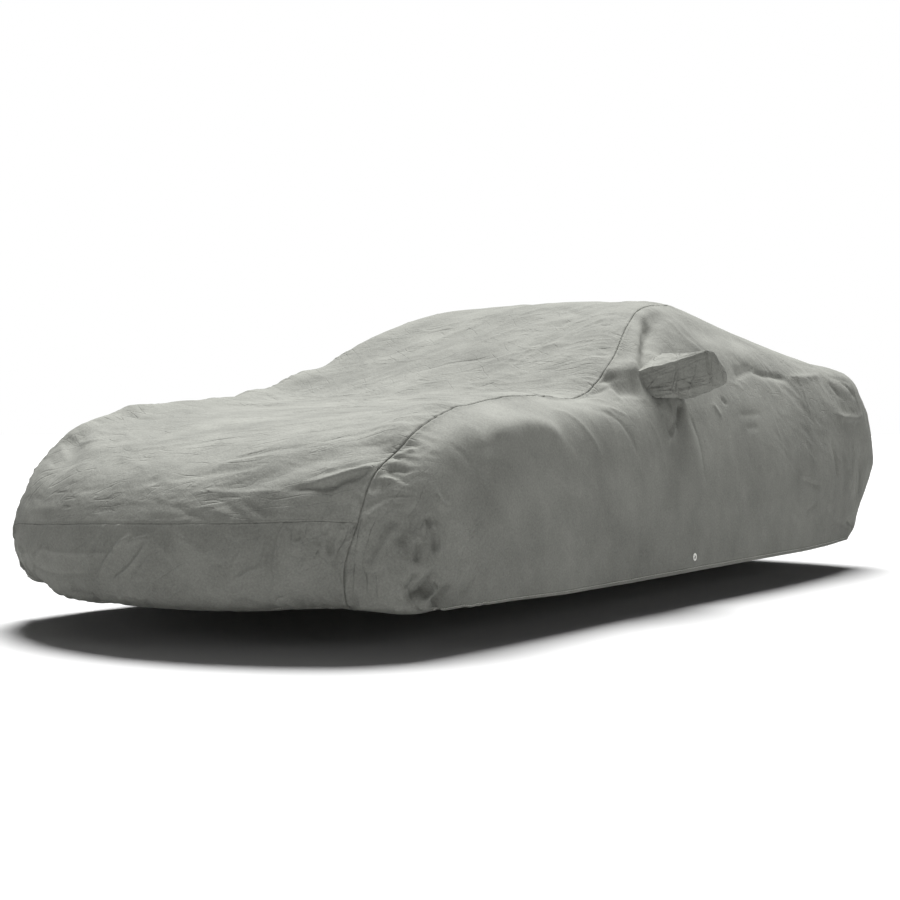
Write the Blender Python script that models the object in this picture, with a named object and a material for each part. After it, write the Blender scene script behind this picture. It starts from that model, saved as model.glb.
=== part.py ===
"""Fitted car cover, draped as it is worn, hollow and open below.

Metres, +Z up. +X is the cover's left side, -Y its nose and +Y its tail. The tables
measure y from near the middle of the cover and z from the ground that it hangs over.
ORIGIN then moves the whole cover so that the frame's origin is the underside of the cloth
at its highest point, where the cover is carried.

The cloth is one draped surface, cut into the pieces that a maker would sew together.
A point of it has two numbers: v, the station along the cover, counted from the turned
front hem to the rear hem, and u, the place across it, from 0 at the centre line to 1 at
the left hem and -1 at the right hem.
"""

import math
from collections import namedtuple

import bpy
import numpy as np

MM = 0.001
CLOTH_THICKNESS = 2 * MM
SEAM_GAP = 0.3 * MM
# Each panel's rim is drawn in by a little over half the gap.
RIM_DRAW = 0.72 * SEAM_GAP
# How far apart in v and u a slope of the surface is measured.
NORMAL_STEP = 0.004

# How each line across the cover is reached: u at the centre, crown, seam, waist, side and hem.
LINES_U = np.array([0.0, 0.26, 0.46, 0.62, 0.82, 1.0])
SEAM_U = 0.46
# The crown line lies this share of the way from the centre line to the seam, in x, y and z.
CROWN_SHARE = np.array([0.54, 0.25, 0.33])

# One row for each station, in millimetres: the five lines, and how much lower the right side
# hangs and how far its front corner is drawn in.
Station = namedtuple(
    "Station",
    "centre_y centre_z  seam_x seam_y seam_z  waist_x waist_y waist_z "
    "side_x side_y side_z  hem_x hem_y hem_z  right_sag right_tuck",
)
STATIONS = (
    Station(-2190, 130, 690, -1950, 124, 762, -1922, 120, 832, -1868, 116, 888, -1778, 124, 0, 30),
    Station(-2270, 165, 720, -2020, 160, 800, -1985, 156, 868, -1915, 148, 900, -1790, 136, 0, 34),
    Station(-2300, 295, 742, -2055, 295, 830, -1965, 285, 905, -1860, 245, 910, -1650, 142, 30, 8),
    Station(-2285, 425, 768, -2025, 425, 855, -1930, 405, 925, -1780, 325, 914, -1500, 142, 60, 0),
    Station(-2200, 540, 768, -1955, 555, 870, -1860, 530, 938, -1670, 400, 917, -1350, 140, 20, 0),
    Station(-2030, 635, 760, -1820, 662, 870, -1750, 640, 945, -1530, 460, 919, -1200, 136, 10, 0),
    Station(-1790, 705, 750, -1610, 740, 862, -1590, 725, 948, -1350, 490, 920, -1040, 133, 10, 0),
    Station(-1450, 760, 750, -1400, 789, 858, -1370, 750, 946, -1140, 500, 920, -860, 133, 5, 0),
    Station(-1080, 795, 752, -1030, 823, 860, -1020, 765, 938, -860, 510, 920, -640, 133, 12, 0),
    Station(-800, 835, 755, -640, 827, 855, -640, 790, 930, -540, 520, 920, -410, 134, 0, 0),
    Station(-420, 975, 715, -340, 970, 835, -300, 840, 928, -270, 530, 920, -200, 135, 0, 0),
    Station(-130, 1100, 640, -95, 1100, 822, -50, 872, 926, -20, 540, 920, 10, 137, 0, 0),
    Station(150, 1214, 565, 140, 1185, 812, 180, 895, 926, 210, 555, 920, 230, 138, 0, 0),
    Station(500, 1268, 500, 500, 1235, 795, 490, 925, 926, 480, 570, 922, 470, 141, 0, 0),
    Station(900, 1255, 440, 890, 1218, 760, 880, 975, 928, 810, 590, 920, 760, 141, 0, 0),
    Station(1300, 1180, 450, 1290, 1140, 765, 1270, 985, 926, 1130, 600, 912, 1040, 141, 0, 0),
    Station(1700, 1085, 540, 1690, 1045, 780, 1640, 968, 918, 1440, 590, 900, 1290, 143, 0, 0),
    Station(2100, 985, 640, 2020, 965, 785, 1955, 940, 900, 1710, 560, 885, 1490, 147, 0, 0),
    Station(2250, 830, 690, 2160, 820, 805, 2110, 790, 882, 1850, 480, 872, 1610, 149, 0, 0),
    Station(2280, 600, 700, 2195, 590, 812, 2165, 570, 870, 1935, 380, 862, 1700, 150, 0, 0),
    Station(2220, 370, 690, 2135, 370, 790, 2085, 350, 845, 1945, 265, 850, 1770, 150, 0, 0),
    Station(2080, 160, 660, 2000, 160, 735, 1955, 157, 795, 1890, 153, 835, 1810, 150, 0, 0),
)
RIGHT_TUCK_INWARD = 0.7
FRONT_SEAM_V = 3
ROOF_TOP_V = 13
ORIGIN = np.array(
    [0.0, MM * STATIONS[ROOF_TOP_V].centre_y, MM * STATIONS[ROOF_TOP_V].centre_z - CLOTH_THICKNESS]
)

# The mirror pocket is sewn into the side panel round this block, and the eyelet's strip of
# cloth is this block at the hem.
MIRROR_V = (10.12, 11.3)
MIRROR_U = (0.55, 0.635)
EYELET_V = (10.35, 10.93)
EYELET_U = (0.90, 1.0)
EYELET_AT = (10.76, 0.975)

# Main folds, soft ridges (height above 0) and troughs (below 0), along a straight line in v and
# u. Width is where the fold has fallen to a third of its height. sides: 1 left, -1 right, 0 both.
Fold = namedtuple("Fold", "v_start u_start v_end u_end width height sides")
FOLDS = {
    "front top crease": Fold(3.6, 0.20, 5.0, 0.42, 0.045, -0.012, 1),
    "front top ridge by the seam": Fold(3.5, 0.34, 4.5, 0.46, 0.045, 0.012, 1),
    "shelf in front of the pocket": Fold(9.5, 0.475, 10.3, 0.565, 0.055, 0.014, 0),
    "hollow under the shelf": Fold(9.4, 0.54, 10.0, 0.61, 0.06, -0.020, 0),
    "right tent in front of the pocket": Fold(8.2, 0.49, 9.95, 0.52, 0.12, 0.052, -1),
    "crest beside the front top": Fold(4.8, 0.42, 7.1, 0.43, 0.08, 0.030, 0),
    "dent behind the shelf": Fold(12.0, 0.49, 10.9, 0.545, 0.06, -0.018, 0),
    "slack below the pocket": Fold(10.2, 0.645, 10.6, 0.70, 0.05, 0.016, 0),
    "rear ridge": Fold(12.4, 0.57, 14.6, 0.60, 0.08, 0.012, 0),
    "hollow above the rear ridge": Fold(12.6, 0.53, 14.6, 0.555, 0.07, -0.010, 0),
    "soft bulge of the front side": Fold(6.0, 0.66, 7.9, 0.66, 0.09, 0.014, 0),
    "front hem corner, deep": Fold(1.1, 0.72, 2.2, 0.90, 0.05, -0.022, 1),
    "front hem corner, short": Fold(1.3, 0.88, 2.6, 0.965, 0.045, -0.018, 1),
    "front hem corner, ridge": Fold(1.2, 0.64, 2.9, 0.86, 0.06, 0.012, 1),
    "front corner, long": Fold(1.6, 0.53, 3.6, 0.58, 0.05, -0.010, 1),
    "right front dent": Fold(5.2, -0.42, 4.3, -0.24, 0.06, -0.014, 1),
    "right front ridge": Fold(5.8, -0.40, 4.6, -0.20, 0.06, 0.010, 1),
    "front hem dip": Fold(0.2, -0.30, 1.2, -0.12, 0.11, 0.012, 1),
    "rear corner, upper": Fold(17.0, 0.66, 19.0, 0.70, 0.06, -0.012, 0),
    "rear corner, lower": Fold(18.6, 0.72, 20.6, 0.86, 0.06, -0.014, 0),
    "top dent": Fold(11.6, 0.12, 12.4, 0.24, 0.08, -0.008, 1),
    "tail crease": Fold(17.2, -0.30, 17.6, 0.34, 0.07, -0.010, 1),
    "rear side crease": Fold(15.6, 0.66, 16.6, 0.74, 0.07, -0.010, 0),
}
FOLD_STEPS = 8
FOLD_TAPER = 0.28

# Stations and places across where the pieces have a row of points.
EARLY_V = (0.0, 0.5, 1.0, 1.5, 2.0, 2.5, FRONT_SEAM_V)
NOSE_V = tuple(3.0 + k / 3 for k in range(1, 21))
DOOR_V = (9.85, 10.12, 10.35, 10.64, 10.93, 11.3, 11.65)
TAIL_V = tuple(12.0 + 0.5 * k for k in range(19))
ALL_V = np.array(EARLY_V + NOSE_V + DOOR_V + TAIL_V)
TOP_U = np.linspace(-SEAM_U, SEAM_U, 17)
SIDE_U = np.array(
    [0.46, 0.505, 0.55, 0.578, 0.607, 0.635, 0.675, 0.72, 0.765, 0.81, 0.855, 0.90, 0.95, 1.0]
)

# The mirror pocket's outer end: centre, half sizes along the cover and upwards, and lean.
POCKET_TIP = {1: np.array([0.985, 0.012, 0.942]), -1: np.array([-0.975, 0.012, 0.912])}
POCKET_HALF_LENGTH = 0.062
POCKET_HALF_HEIGHT = 0.070
POCKET_LEAN = 0.42
POCKET_SLANT = 0.10
POCKET_EASE = 1.15
POCKET_SQUARENESS = 0.62
POCKET_RINGS = 6
POCKET_SAG = 0.030
POCKET_CAP_SCALES = (0.93, 0.72, 0.38)
POCKET_CAP_RISE = (0.012, 0.022, 0.027)

EYELET_HOLE_RADIUS = 0.0075
EYELET_BARREL_RADIUS = 0.0082
EYELET_FLANGE_RADIUS = 0.0155
EYELET_FLANGE = 0.0012
EYELET_ROUNDING = 0.0004
STRIP_HOLE_RADIUS = 0.0086
STRIP_FLAT_RADIUS = 0.0185
STRIP_STEPS = 5
EYELET_SEGMENTS = 24

CLOTH_COLOUR = (0.250, 0.250, 0.225, 1.0)
EYELET_COLOUR = (0.780, 0.780, 0.760, 1.0)


def curve(points, at):
    """Reads a smooth curve through points (n, ..., 3) at the places `at`, which count points.

    Each piece is a cubic whose slope at a point is that of the parabola through it and its
    two neighbours, measured by the distance between them.
    """
    count = len(points)
    length = np.linalg.norm(np.diff(points, axis=0), axis=-1, keepdims=True) + 1e-9
    slope = np.diff(points, axis=0) / length
    tangent = np.empty_like(points)
    tangent[1:-1] = length[1:] * slope[:-1] + length[:-1] * slope[1:]
    tangent[1:-1] /= length[1:] + length[:-1]
    tangent[0] = 1.5 * slope[0] - 0.5 * tangent[1]
    tangent[-1] = 1.5 * slope[-1] - 0.5 * tangent[-2]
    piece = np.clip(at.astype(int), 0, count - 2)
    t = (at - piece).reshape((-1,) + (1,) * (points.ndim - 1))
    start = (2 * t**3 - 3 * t**2 + 1) * points[piece] + (3 * t**2 - 2 * t**3) * points[piece + 1]
    bend = (t**3 - 2 * t**2 + t) * tangent[piece] + (t**3 - t**2) * tangent[piece + 1]
    return start + length[piece] * bend


def station_lines():
    """Points (station, line, xyz) of the eleven lines from the right hem to the left hem."""
    left = np.zeros((len(STATIONS), len(LINES_U), 3))
    for row, station in zip(left, STATIONS):
        s = Station._make(MM * value for value in station)
        row[0] = (0.0, s.centre_y, s.centre_z)
        row[2] = (s.seam_x, s.seam_y, s.seam_z)
        row[1] = row[0] + CROWN_SHARE * (row[2] - row[0])
        row[3] = (s.waist_x, s.waist_y, s.waist_z)
        row[4] = (s.side_x, s.side_y, s.side_z)
        row[5] = (s.hem_x, s.hem_y, s.hem_z)
    lines = np.concatenate([left[:, :0:-1] * (-1, 1, 1), left], axis=1)
    sag = MM * np.array([station.right_sag for station in STATIONS])[:, None]
    rightness = np.clip(0.5 - 0.5 * lines[..., 0] / (MM * STATIONS[FRONT_SEAM_V].seam_x), 0, 1)
    lines[..., 2] -= sag * rightness**2
    tuck = MM * np.array([station.right_tuck for station in STATIONS])[:, None] * rightness**2
    lines[..., 0] += RIGHT_TUCK_INWARD * tuck
    lines[..., 1] += tuck
    return lines


def draped(v, u):
    """Points (v, u, xyz) of the cloth's outer face with no folds, in the tables' own frame."""
    along = curve(station_lines(), v)
    line_u = np.concatenate([-LINES_U[:0:-1], LINES_U])
    place = np.interp(u, line_u, np.arange(len(line_u)))
    beyond = np.maximum(np.abs(u) - 1, 0) / (LINES_U[-1] - LINES_U[-2])
    place += np.sign(u) * beyond
    return np.moveaxis(curve(np.moveaxis(along, 1, 0), place), 0, 1)


def normals(surface, v, u):
    """Outward unit normals of surface(v, u), from the points just before and after each."""
    along = surface(v + NORMAL_STEP, u) - surface(v - NORMAL_STEP, u)
    across = surface(v, u + NORMAL_STEP) - surface(v, u - NORMAL_STEP)
    normal = np.cross(across, along)
    return normal / np.linalg.norm(normal, axis=-1, keepdims=True)


def fold_lift(points, path, fold):
    """How far a fold along path lifts each point: a bell across it that fades at its ends."""
    nearest = np.full(points.shape[:-1], np.inf)
    share = np.zeros(points.shape[:-1])
    for k in range(len(path) - 1):
        run = path[k + 1] - path[k]
        t = np.clip((points - path[k]) @ run / (run @ run), 0, 1)
        distance = np.linalg.norm(points - path[k] - t[..., None] * run, axis=-1)
        closer = distance < nearest
        nearest = np.where(closer, distance, nearest)
        share = np.where(closer, (k + t) / (len(path) - 1), share)
    taper = np.clip(np.minimum(share, 1 - share) / FOLD_TAPER, 0, 1)
    return fold.height * np.exp(-((nearest / fold.width) ** 2)) * np.sin(0.5 * math.pi * taper) ** 2


def folded(v, u):
    """Points (v, u, xyz) of the cloth's outer face with its folds, in the frame of the part."""
    points = draped(v, u)
    lift = np.zeros(points.shape[:-1])
    for fold in FOLDS.values():
        for side in (fold.sides,) if fold.sides else (1, -1):
            path_v = np.linspace(fold.v_start, fold.v_end, FOLD_STEPS)
            path_u = side * np.linspace(fold.u_start, fold.u_end, FOLD_STEPS)
            grid = draped(path_v, path_u)
            path = grid[np.arange(FOLD_STEPS), np.arange(FOLD_STEPS)]
            lift += fold_lift(points, path, fold)
    return points + lift[..., None] * normals(draped, v, u) - ORIGIN


def cloth_material(name, colour, roughness, metallic=0.0):
    """A plain material with the piece's colour, roughness and metallic value."""
    material = bpy.data.materials.new(name)
    material.diffuse_color = colour
    material.use_nodes = True
    shader = material.node_tree.nodes["Principled BSDF"]
    shader.inputs["Base Color"].default_value = colour
    shader.inputs["Roughness"].default_value = roughness
    shader.inputs["Metallic"].default_value = metallic
    return material


def turned_outward(points, faces):
    """The faces in an order that makes them look outward, whichever side the piece is on."""
    volume = 0.0
    for face in faces:
        a, b, c = points[face[0]], points[face[1]], points[face[2]]
        volume += a @ np.cross(b, c)
        if len(face) == 4:
            volume += a @ np.cross(c, points[face[3]])
    return faces if volume > 0 else [tuple(reversed(face)) for face in faces]


def add_piece(name, points, faces, material, parent):
    """Adds one closed piece, smooth but for its rims."""
    faces = turned_outward(points, faces)
    mesh = bpy.data.meshes.new(name)
    mesh.from_pydata(points.tolist(), [], faces)
    mesh.validate()
    mesh.shade_smooth()
    mesh.set_sharp_from_angle(angle=math.radians(50))
    mesh.materials.append(material)
    piece = bpy.data.objects.new(name, mesh)
    bpy.context.scene.collection.objects.link(piece)
    piece.parent = parent
    return piece


def split(points, cells):
    """Cuts each four-sided cell in two along its shorter diagonal."""
    triangles = []
    for cell in cells:
        if len(cell) == 3:
            triangles.append(cell)
            continue
        a, b, c, d = cell
        if np.linalg.norm(points[a] - points[c]) <= np.linalg.norm(points[b] - points[d]):
            triangles += [(a, b, c), (a, c, d)]
        else:
            triangles += [(b, c, d), (b, d, a)]
    return triangles


def closed_sheet(outer, inner, cells):
    """Joins an outer and an inner face of the same cells by a rim along every free edge."""
    cells = split(outer, cells)
    shift = len(outer)
    edges = {}
    for cell in cells:
        for a, b in zip(cell, cell[1:] + cell[:1]):
            edges[(a, b)] = edges.get((a, b), 0) + 1
    rim = [(b, a, a + shift, b + shift) for a, b in edges if (b, a) not in edges]
    back = [tuple(k + shift for k in reversed(cell)) for cell in cells]
    used = sorted({k for cell in cells for k in cell})
    number = {k: place for place, k in enumerate(used)}
    number.update({k + shift: place + len(used) for place, k in enumerate(used)})
    points = np.concatenate([outer[used], inner[used]])
    faces = [tuple(number[k] for k in face) for face in cells + rim + back]
    return points, faces


def drawn_in(outer, inner, cells):
    """Draws each point on a free edge a hair into its piece, so that neighbours stay apart."""
    total = np.zeros_like(outer)
    count = np.zeros(len(outer))
    uses = {}
    for cell in cells:
        middle = outer[list(cell)].mean(axis=0)
        for k, (a, b) in enumerate(zip(cell, cell[1:] + cell[:1])):
            total[cell[k]] += middle
            count[cell[k]] += 1
            uses[frozenset((a, b))] = uses.get(frozenset((a, b)), 0) + 1
    free = sorted({k for edge, times in uses.items() if times == 1 for k in edge})
    inward = total[free] / count[free, None] - outer[free]
    inward *= RIM_DRAW / np.linalg.norm(inward, axis=1, keepdims=True)
    outer[free] += inward
    inner[free] += inward
    return outer, inner


def block(values, low_high):
    """The first and last place of a stretch in a sorted list of stations or of places across."""
    return tuple(int(np.argmin(np.abs(values - edge))) for edge in low_high)


def panel(name, v, u, material, parent, holes=()):
    """One panel of cloth over the grid v by u, with blocks of cells left out as holes."""
    outer = folded(v, u)
    inner = outer - CLOTH_THICKNESS * normals(folded, v, u)
    rows, columns = len(v), len(u)
    cells = []
    for i in range(rows - 1):
        for j in range(columns - 1):
            if any(a <= i < b and c <= j < d for (a, b), (c, d) in holes):
                continue
            k = i * columns + j
            cells.append((k, k + columns, k + columns + 1, k + 1))
    outer, inner = drawn_in(outer.reshape(-1, 3), inner.reshape(-1, 3), cells)
    points, faces = closed_sheet(outer, inner, cells)
    return add_piece(name, points, faces, material, parent)


def ring_of_block(v, u, v_range, u_range):
    """The block's boundary points in order, with normals and the share of the way round."""
    (i0, i1), (j0, j1) = block(v, v_range), block(u, u_range)
    outer = folded(v, u)
    normal = normals(folded, v, u)
    path = [(i, j0) for i in range(i0, i1)]
    path += [(i1, j) for j in range(j0, j1)]
    path += [(i, j1) for i in range(i1, i0, -1)]
    path += [(i0, j) for j in range(j1, j0, -1)]
    corner = np.concatenate(
        [np.arange(n) / n + k for k, n in enumerate((i1 - i0, j1 - j0, i1 - i0, j1 - j0))]
    )
    rows, columns = np.array(path).T
    return outer[rows, columns], normal[rows, columns], corner


def ring_normals(rings):
    """Unit normals at the points of rings (ring, place round, xyz), each the mean of its cells'."""
    forward = rings[1:] - rings[:-1]
    around = np.roll(rings, -1, axis=1) - rings
    cell = np.cross(forward + np.roll(forward, -1, axis=1), around[1:] + around[:-1])
    cell /= np.linalg.norm(cell, axis=2, keepdims=True)
    total = np.zeros_like(rings)
    total[:-1] += cell + np.roll(cell, 1, axis=1)
    total[1:] += cell + np.roll(cell, 1, axis=1)
    return total / np.linalg.norm(total, axis=2, keepdims=True)


def ring_cells(rings, count):
    """The cells between rings of count points each, one ring after another."""
    cells = []
    for i in range(rings - 1):
        for j in range(count):
            a, b = i * count + j, i * count + (j + 1) % count
            cells.append((a, b, b + count, a + count))
    return cells


def shrunk(ring, amount):
    """A ring of points drawn towards its own middle by an amount."""
    inward = ring.mean(axis=0) - ring
    return ring + amount * inward / np.linalg.norm(inward, axis=1, keepdims=True)


def pocket(name, side, material, parent):
    """The mirror's sock: rings from the hole in the side panel to a rounded, closed end."""
    root, normal, corner = ring_of_block(ALL_V, side * SIDE_U, MIRROR_V, side * np.array(MIRROR_U))
    root = shrunk(root, SEAM_GAP) + SEAM_GAP * normal
    # The block's four corners go to the tip's four rounded corners, at 135, 45, -45 and -135
    # degrees.
    angle = math.radians(135) - math.radians(90) * corner
    reach = np.abs(np.cos(angle)) ** POCKET_SQUARENESS * np.sign(np.cos(angle))
    rise = np.abs(np.sin(angle)) ** POCKET_SQUARENESS * np.sign(np.sin(angle))
    tip = POCKET_TIP[side] - ORIGIN + np.stack(
        [
            side * POCKET_SLANT * POCKET_HALF_LENGTH * reach,
            POCKET_HALF_LENGTH * reach - POCKET_LEAN * POCKET_HALF_HEIGHT * rise,
            POCKET_HALF_HEIGHT * rise,
        ],
        axis=1,
    )
    rings = []
    for k in range(POCKET_RINGS + 1):
        share = k / POCKET_RINGS
        eased = share**POCKET_EASE
        ring = (1 - eased) * root + eased * tip
        ring[:, 2] -= POCKET_SAG * math.sin(math.pi * share) * np.clip(-rise, 0, 1) * (1 - reach**2)
        rings.append(ring)
    middle = tip.mean(axis=0)
    for scale, out in zip(POCKET_CAP_SCALES, POCKET_CAP_RISE):
        rings.append(middle + scale * (tip - middle) + (side * out, 0, 0))
    outer = np.array(rings)
    end = outer[-1].mean(axis=0) + (side * MM, 0, 0)
    inner = outer - CLOTH_THICKNESS * side * ring_normals(outer)
    points = np.concatenate([outer.reshape(-1, 3), [end]])
    lining = np.concatenate([inner.reshape(-1, 3), [end - (side * CLOTH_THICKNESS, 0, 0)]])
    count = outer.shape[1]
    cells = ring_cells(len(outer), count)
    last = (len(outer) - 1) * count
    cells += [(last + j, last + (j + 1) % count, len(points) - 1) for j in range(count)]
    body, faces = closed_sheet(points, lining, cells)
    return add_piece(name, body, faces, material, parent)


def eyelet_strip(name, side, material, parent):
    """The strip of cloth at the hem that holds the eyelet, flat round its hole."""
    edge, normal, _ = ring_of_block(ALL_V, side * SIDE_U, EYELET_V, side * np.array(EYELET_U))
    back = edge - CLOTH_THICKNESS * normal
    middle = eyelet_place(side)
    share = np.arange(STRIP_STEPS)[:, None] / STRIP_STEPS
    rings = []
    for points in (edge, back):
        points = shrunk(points, SEAM_GAP)
        following = np.roll(points, -1, axis=0)
        fine = points[:, None] * (1 - share) + following[:, None] * share
        rings.append(fine.reshape(-1, 3))
    frame, frame_back = rings
    spoke = (frame - middle)[:, 1:]
    spoke /= np.linalg.norm(spoke, axis=1, keepdims=True)
    outer, inner = [frame], [frame_back]
    for radius in (STRIP_FLAT_RADIUS, STRIP_HOLE_RADIUS):
        ring = np.column_stack([np.full(len(spoke), middle[0]), middle[1:] + radius * spoke])
        outer.append(ring)
        inner.append(ring - (side * CLOTH_THICKNESS, 0, 0))
    cells = ring_cells(len(outer), len(frame))
    points, faces = closed_sheet(np.concatenate(outer), np.concatenate(inner), cells)
    return add_piece(name, points, faces, material, parent)


def eyelet_place(side):
    """The middle of the eyelet on the cloth's outer face."""
    v, u = EYELET_AT
    return folded(np.array([v]), np.array([side * u]))[0, 0]


def eyelet(name, side, material, parent):
    """A rolled metal ring: a barrel through the cloth with a flange on each face of it."""
    front = SEAM_GAP + EYELET_FLANGE
    back = -CLOTH_THICKNESS - front
    soft = EYELET_ROUNDING
    profile = (
        (EYELET_HOLE_RADIUS, front - soft),
        (EYELET_HOLE_RADIUS + soft, front),
        (EYELET_FLANGE_RADIUS - soft, front),
        (EYELET_FLANGE_RADIUS, SEAM_GAP),
        (EYELET_BARREL_RADIUS, SEAM_GAP),
        (EYELET_BARREL_RADIUS, -CLOTH_THICKNESS - SEAM_GAP),
        (EYELET_FLANGE_RADIUS, -CLOTH_THICKNESS - SEAM_GAP),
        (EYELET_FLANGE_RADIUS - soft, back),
        (EYELET_HOLE_RADIUS + soft, back),
        (EYELET_HOLE_RADIUS, back + soft),
    )
    turn = np.arange(EYELET_SEGMENTS) * 2 * math.pi / EYELET_SEGMENTS
    points = np.array(
        [
            (side * out, radius * math.cos(angle), radius * math.sin(angle))
            for angle in turn
            for radius, out in profile
        ]
    )
    points += eyelet_place(side)
    count = len(profile)
    faces = []
    for i in range(EYELET_SEGMENTS):
        for j in range(count):
            a, b = i * count + j, i * count + (j + 1) % count
            following = (i + 1) % EYELET_SEGMENTS * count
            faces.append((a, b, following + (j + 1) % count, following + j))
    return add_piece(name, points, faces, material, parent)


def main():
    for old in list(bpy.data.objects):
        bpy.data.objects.remove(old, do_unlink=True)
    cover = bpy.data.objects.new("car_cover", None)
    bpy.context.scene.collection.objects.link(cover)

    front_rows = ALL_V[ALL_V <= FRONT_SEAM_V]
    top_rows = ALL_V[ALL_V >= FRONT_SEAM_V]
    panel("top_panel", top_rows, TOP_U, cloth_material("top cloth", CLOTH_COLOUR, 0.9), cover)
    panel(
        "front_lower_panel", front_rows, TOP_U, cloth_material("front cloth", CLOTH_COLOUR, 0.9), cover
    )
    holes = (
        (block(ALL_V, MIRROR_V), block(SIDE_U, MIRROR_U)),
        (block(ALL_V, EYELET_V), block(SIDE_U, EYELET_U)),
    )
    for side, word in ((1, "left"), (-1, "right")):
        cloth = cloth_material(word + " side cloth", CLOTH_COLOUR, 0.9)
        metal = cloth_material(word + " eyelet metal", EYELET_COLOUR, 0.35, 1.0)
        u = side * SIDE_U
        panel("side_panel_" + word, ALL_V, u, cloth, cover, holes)
        pocket("mirror_pocket_" + word, side, cloth, cover)
        eyelet_strip("eyelet_strip_" + word, side, cloth, cover)
        eyelet("eyelet_ring_" + word, side, metal, cover)


main()
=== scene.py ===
"""Looks of a fitted car cover of grey non-woven cloth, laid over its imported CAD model.

The cloth is one draped surface cut into sewn panels. A point of it has two numbers: v, the
station along the cover from the turned front hem to the rear hem, and u, the place across it
from 0 at the centre line to 1 at the left hem and -1 at the right hem. Every panel reads the
same surface, so neighbours meet at their seams. Lengths are metres unless a name ends in _mm.
"""

from __future__ import annotations

import logging
import math
from dataclasses import dataclass, field
from enum import Enum
from typing import Any, NamedTuple

import bpy
import numpy as np
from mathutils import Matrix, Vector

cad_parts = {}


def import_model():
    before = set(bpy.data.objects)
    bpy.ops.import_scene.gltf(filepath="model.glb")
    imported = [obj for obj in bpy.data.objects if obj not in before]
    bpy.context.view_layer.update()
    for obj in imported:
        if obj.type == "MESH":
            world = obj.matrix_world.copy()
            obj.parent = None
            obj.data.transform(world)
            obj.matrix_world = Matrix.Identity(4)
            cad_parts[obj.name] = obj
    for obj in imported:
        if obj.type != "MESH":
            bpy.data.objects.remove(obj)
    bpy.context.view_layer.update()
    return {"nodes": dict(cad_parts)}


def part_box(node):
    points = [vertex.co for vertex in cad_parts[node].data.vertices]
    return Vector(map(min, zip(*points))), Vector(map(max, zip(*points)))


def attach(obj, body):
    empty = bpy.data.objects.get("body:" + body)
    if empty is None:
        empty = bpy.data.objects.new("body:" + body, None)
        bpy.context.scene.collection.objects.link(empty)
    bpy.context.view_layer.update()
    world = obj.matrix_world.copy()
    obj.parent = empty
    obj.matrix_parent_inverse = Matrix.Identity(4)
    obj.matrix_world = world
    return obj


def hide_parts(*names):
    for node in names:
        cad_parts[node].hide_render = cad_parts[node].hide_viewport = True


LOG = logging.getLogger("cover")
MM = 0.001
Array = np.ndarray


class Station(NamedTuple):
    """One station of the drape in millimetres: five lines across it and the right side's sag."""

    centre_y: float
    centre_z: float
    seam_x: float
    seam_y: float
    seam_z: float
    waist_x: float
    waist_y: float
    waist_z: float
    side_x: float
    side_y: float
    side_z: float
    hem_x: float
    hem_y: float
    hem_z: float
    right_sag: float
    right_tuck: float


STATIONS = (
    Station(-2190, 138, 690, -1950, 150, 762, -1922, 145, 832, -1868, 137, 888, -1778, 141, 0, 30),
    Station(-2270, 169, 720, -2020, 174, 800, -1985, 168, 868, -1915, 157, 900, -1790, 143, 0, 34),
    Station(-2300, 295, 742, -2055, 295, 830, -1965, 285, 905, -1860, 245, 910, -1650, 142, 30, 8),
    Station(-2285, 425, 768, -2025, 425, 855, -1930, 405, 925, -1780, 325, 914, -1500, 142, 60, 0),
    Station(-2200, 540, 768, -1955, 555, 870, -1860, 530, 938, -1670, 400, 917, -1350, 140, 20, 0),
    Station(-2030, 635, 782, -1806, 658, 870, -1750, 640, 945, -1530, 460, 919, -1200, 136, 10, 0),
    Station(-1790, 705, 772, -1606, 737, 862, -1590, 725, 948, -1350, 490, 920, -1040, 133, 10, 0),
    Station(-1450, 760, 755, -1398, 787, 858, -1370, 750, 946, -1140, 500, 920, -860, 133, 5, 0),
    Station(-1080, 795, 752, -1030, 823, 860, -1020, 765, 938, -860, 510, 920, -640, 133, 12, 0),
    Station(-800, 835, 755, -640, 827, 855, -640, 790, 930, -540, 520, 920, -410, 134, 0, 0),
    Station(-420, 975, 715, -340, 970, 835, -300, 840, 928, -270, 530, 920, -200, 135, 0, 0),
    Station(-130, 1100, 640, -95, 1100, 822, -50, 872, 926, -20, 540, 920, 10, 137, 0, 0),
    Station(150, 1214, 565, 140, 1185, 812, 180, 895, 926, 210, 555, 920, 230, 138, 0, 0),
    Station(500, 1268, 500, 500, 1235, 795, 490, 925, 926, 480, 570, 922, 470, 141, 0, 0),
    Station(900, 1255, 440, 890, 1218, 760, 880, 975, 928, 810, 590, 920, 760, 141, 0, 0),
    Station(1300, 1180, 450, 1290, 1140, 765, 1270, 985, 926, 1130, 600, 912, 1040, 141, 0, 0),
    Station(1700, 1085, 540, 1690, 1045, 780, 1640, 968, 918, 1440, 590, 900, 1290, 143, 0, 0),
    Station(2100, 985, 640, 2020, 965, 785, 1955, 940, 900, 1710, 560, 885, 1490, 147, 0, 0),
    Station(2250, 830, 690, 2160, 820, 805, 2110, 790, 882, 1850, 480, 872, 1610, 149, 0, 0),
    Station(2280, 600, 700, 2195, 590, 812, 2165, 570, 870, 1935, 380, 862, 1700, 150, 0, 0),
    Station(2220, 370, 690, 2135, 370, 790, 2085, 350, 845, 1945, 265, 850, 1770, 150, 0, 0),
    Station(2080, 160, 660, 2000, 160, 735, 1955, 157, 795, 1890, 153, 835, 1810, 150, 0, 0),
)
LINES_U = np.array([0.0, 0.26, 0.46, 0.62, 0.82, 1.0])
CROWN_SHARE = np.array([0.54, 0.25, 0.33])
RIGHT_TUCK_INWARD = 0.7
FRONT_SEAM_V = 3
ROOF_TOP_V = 13
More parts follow.
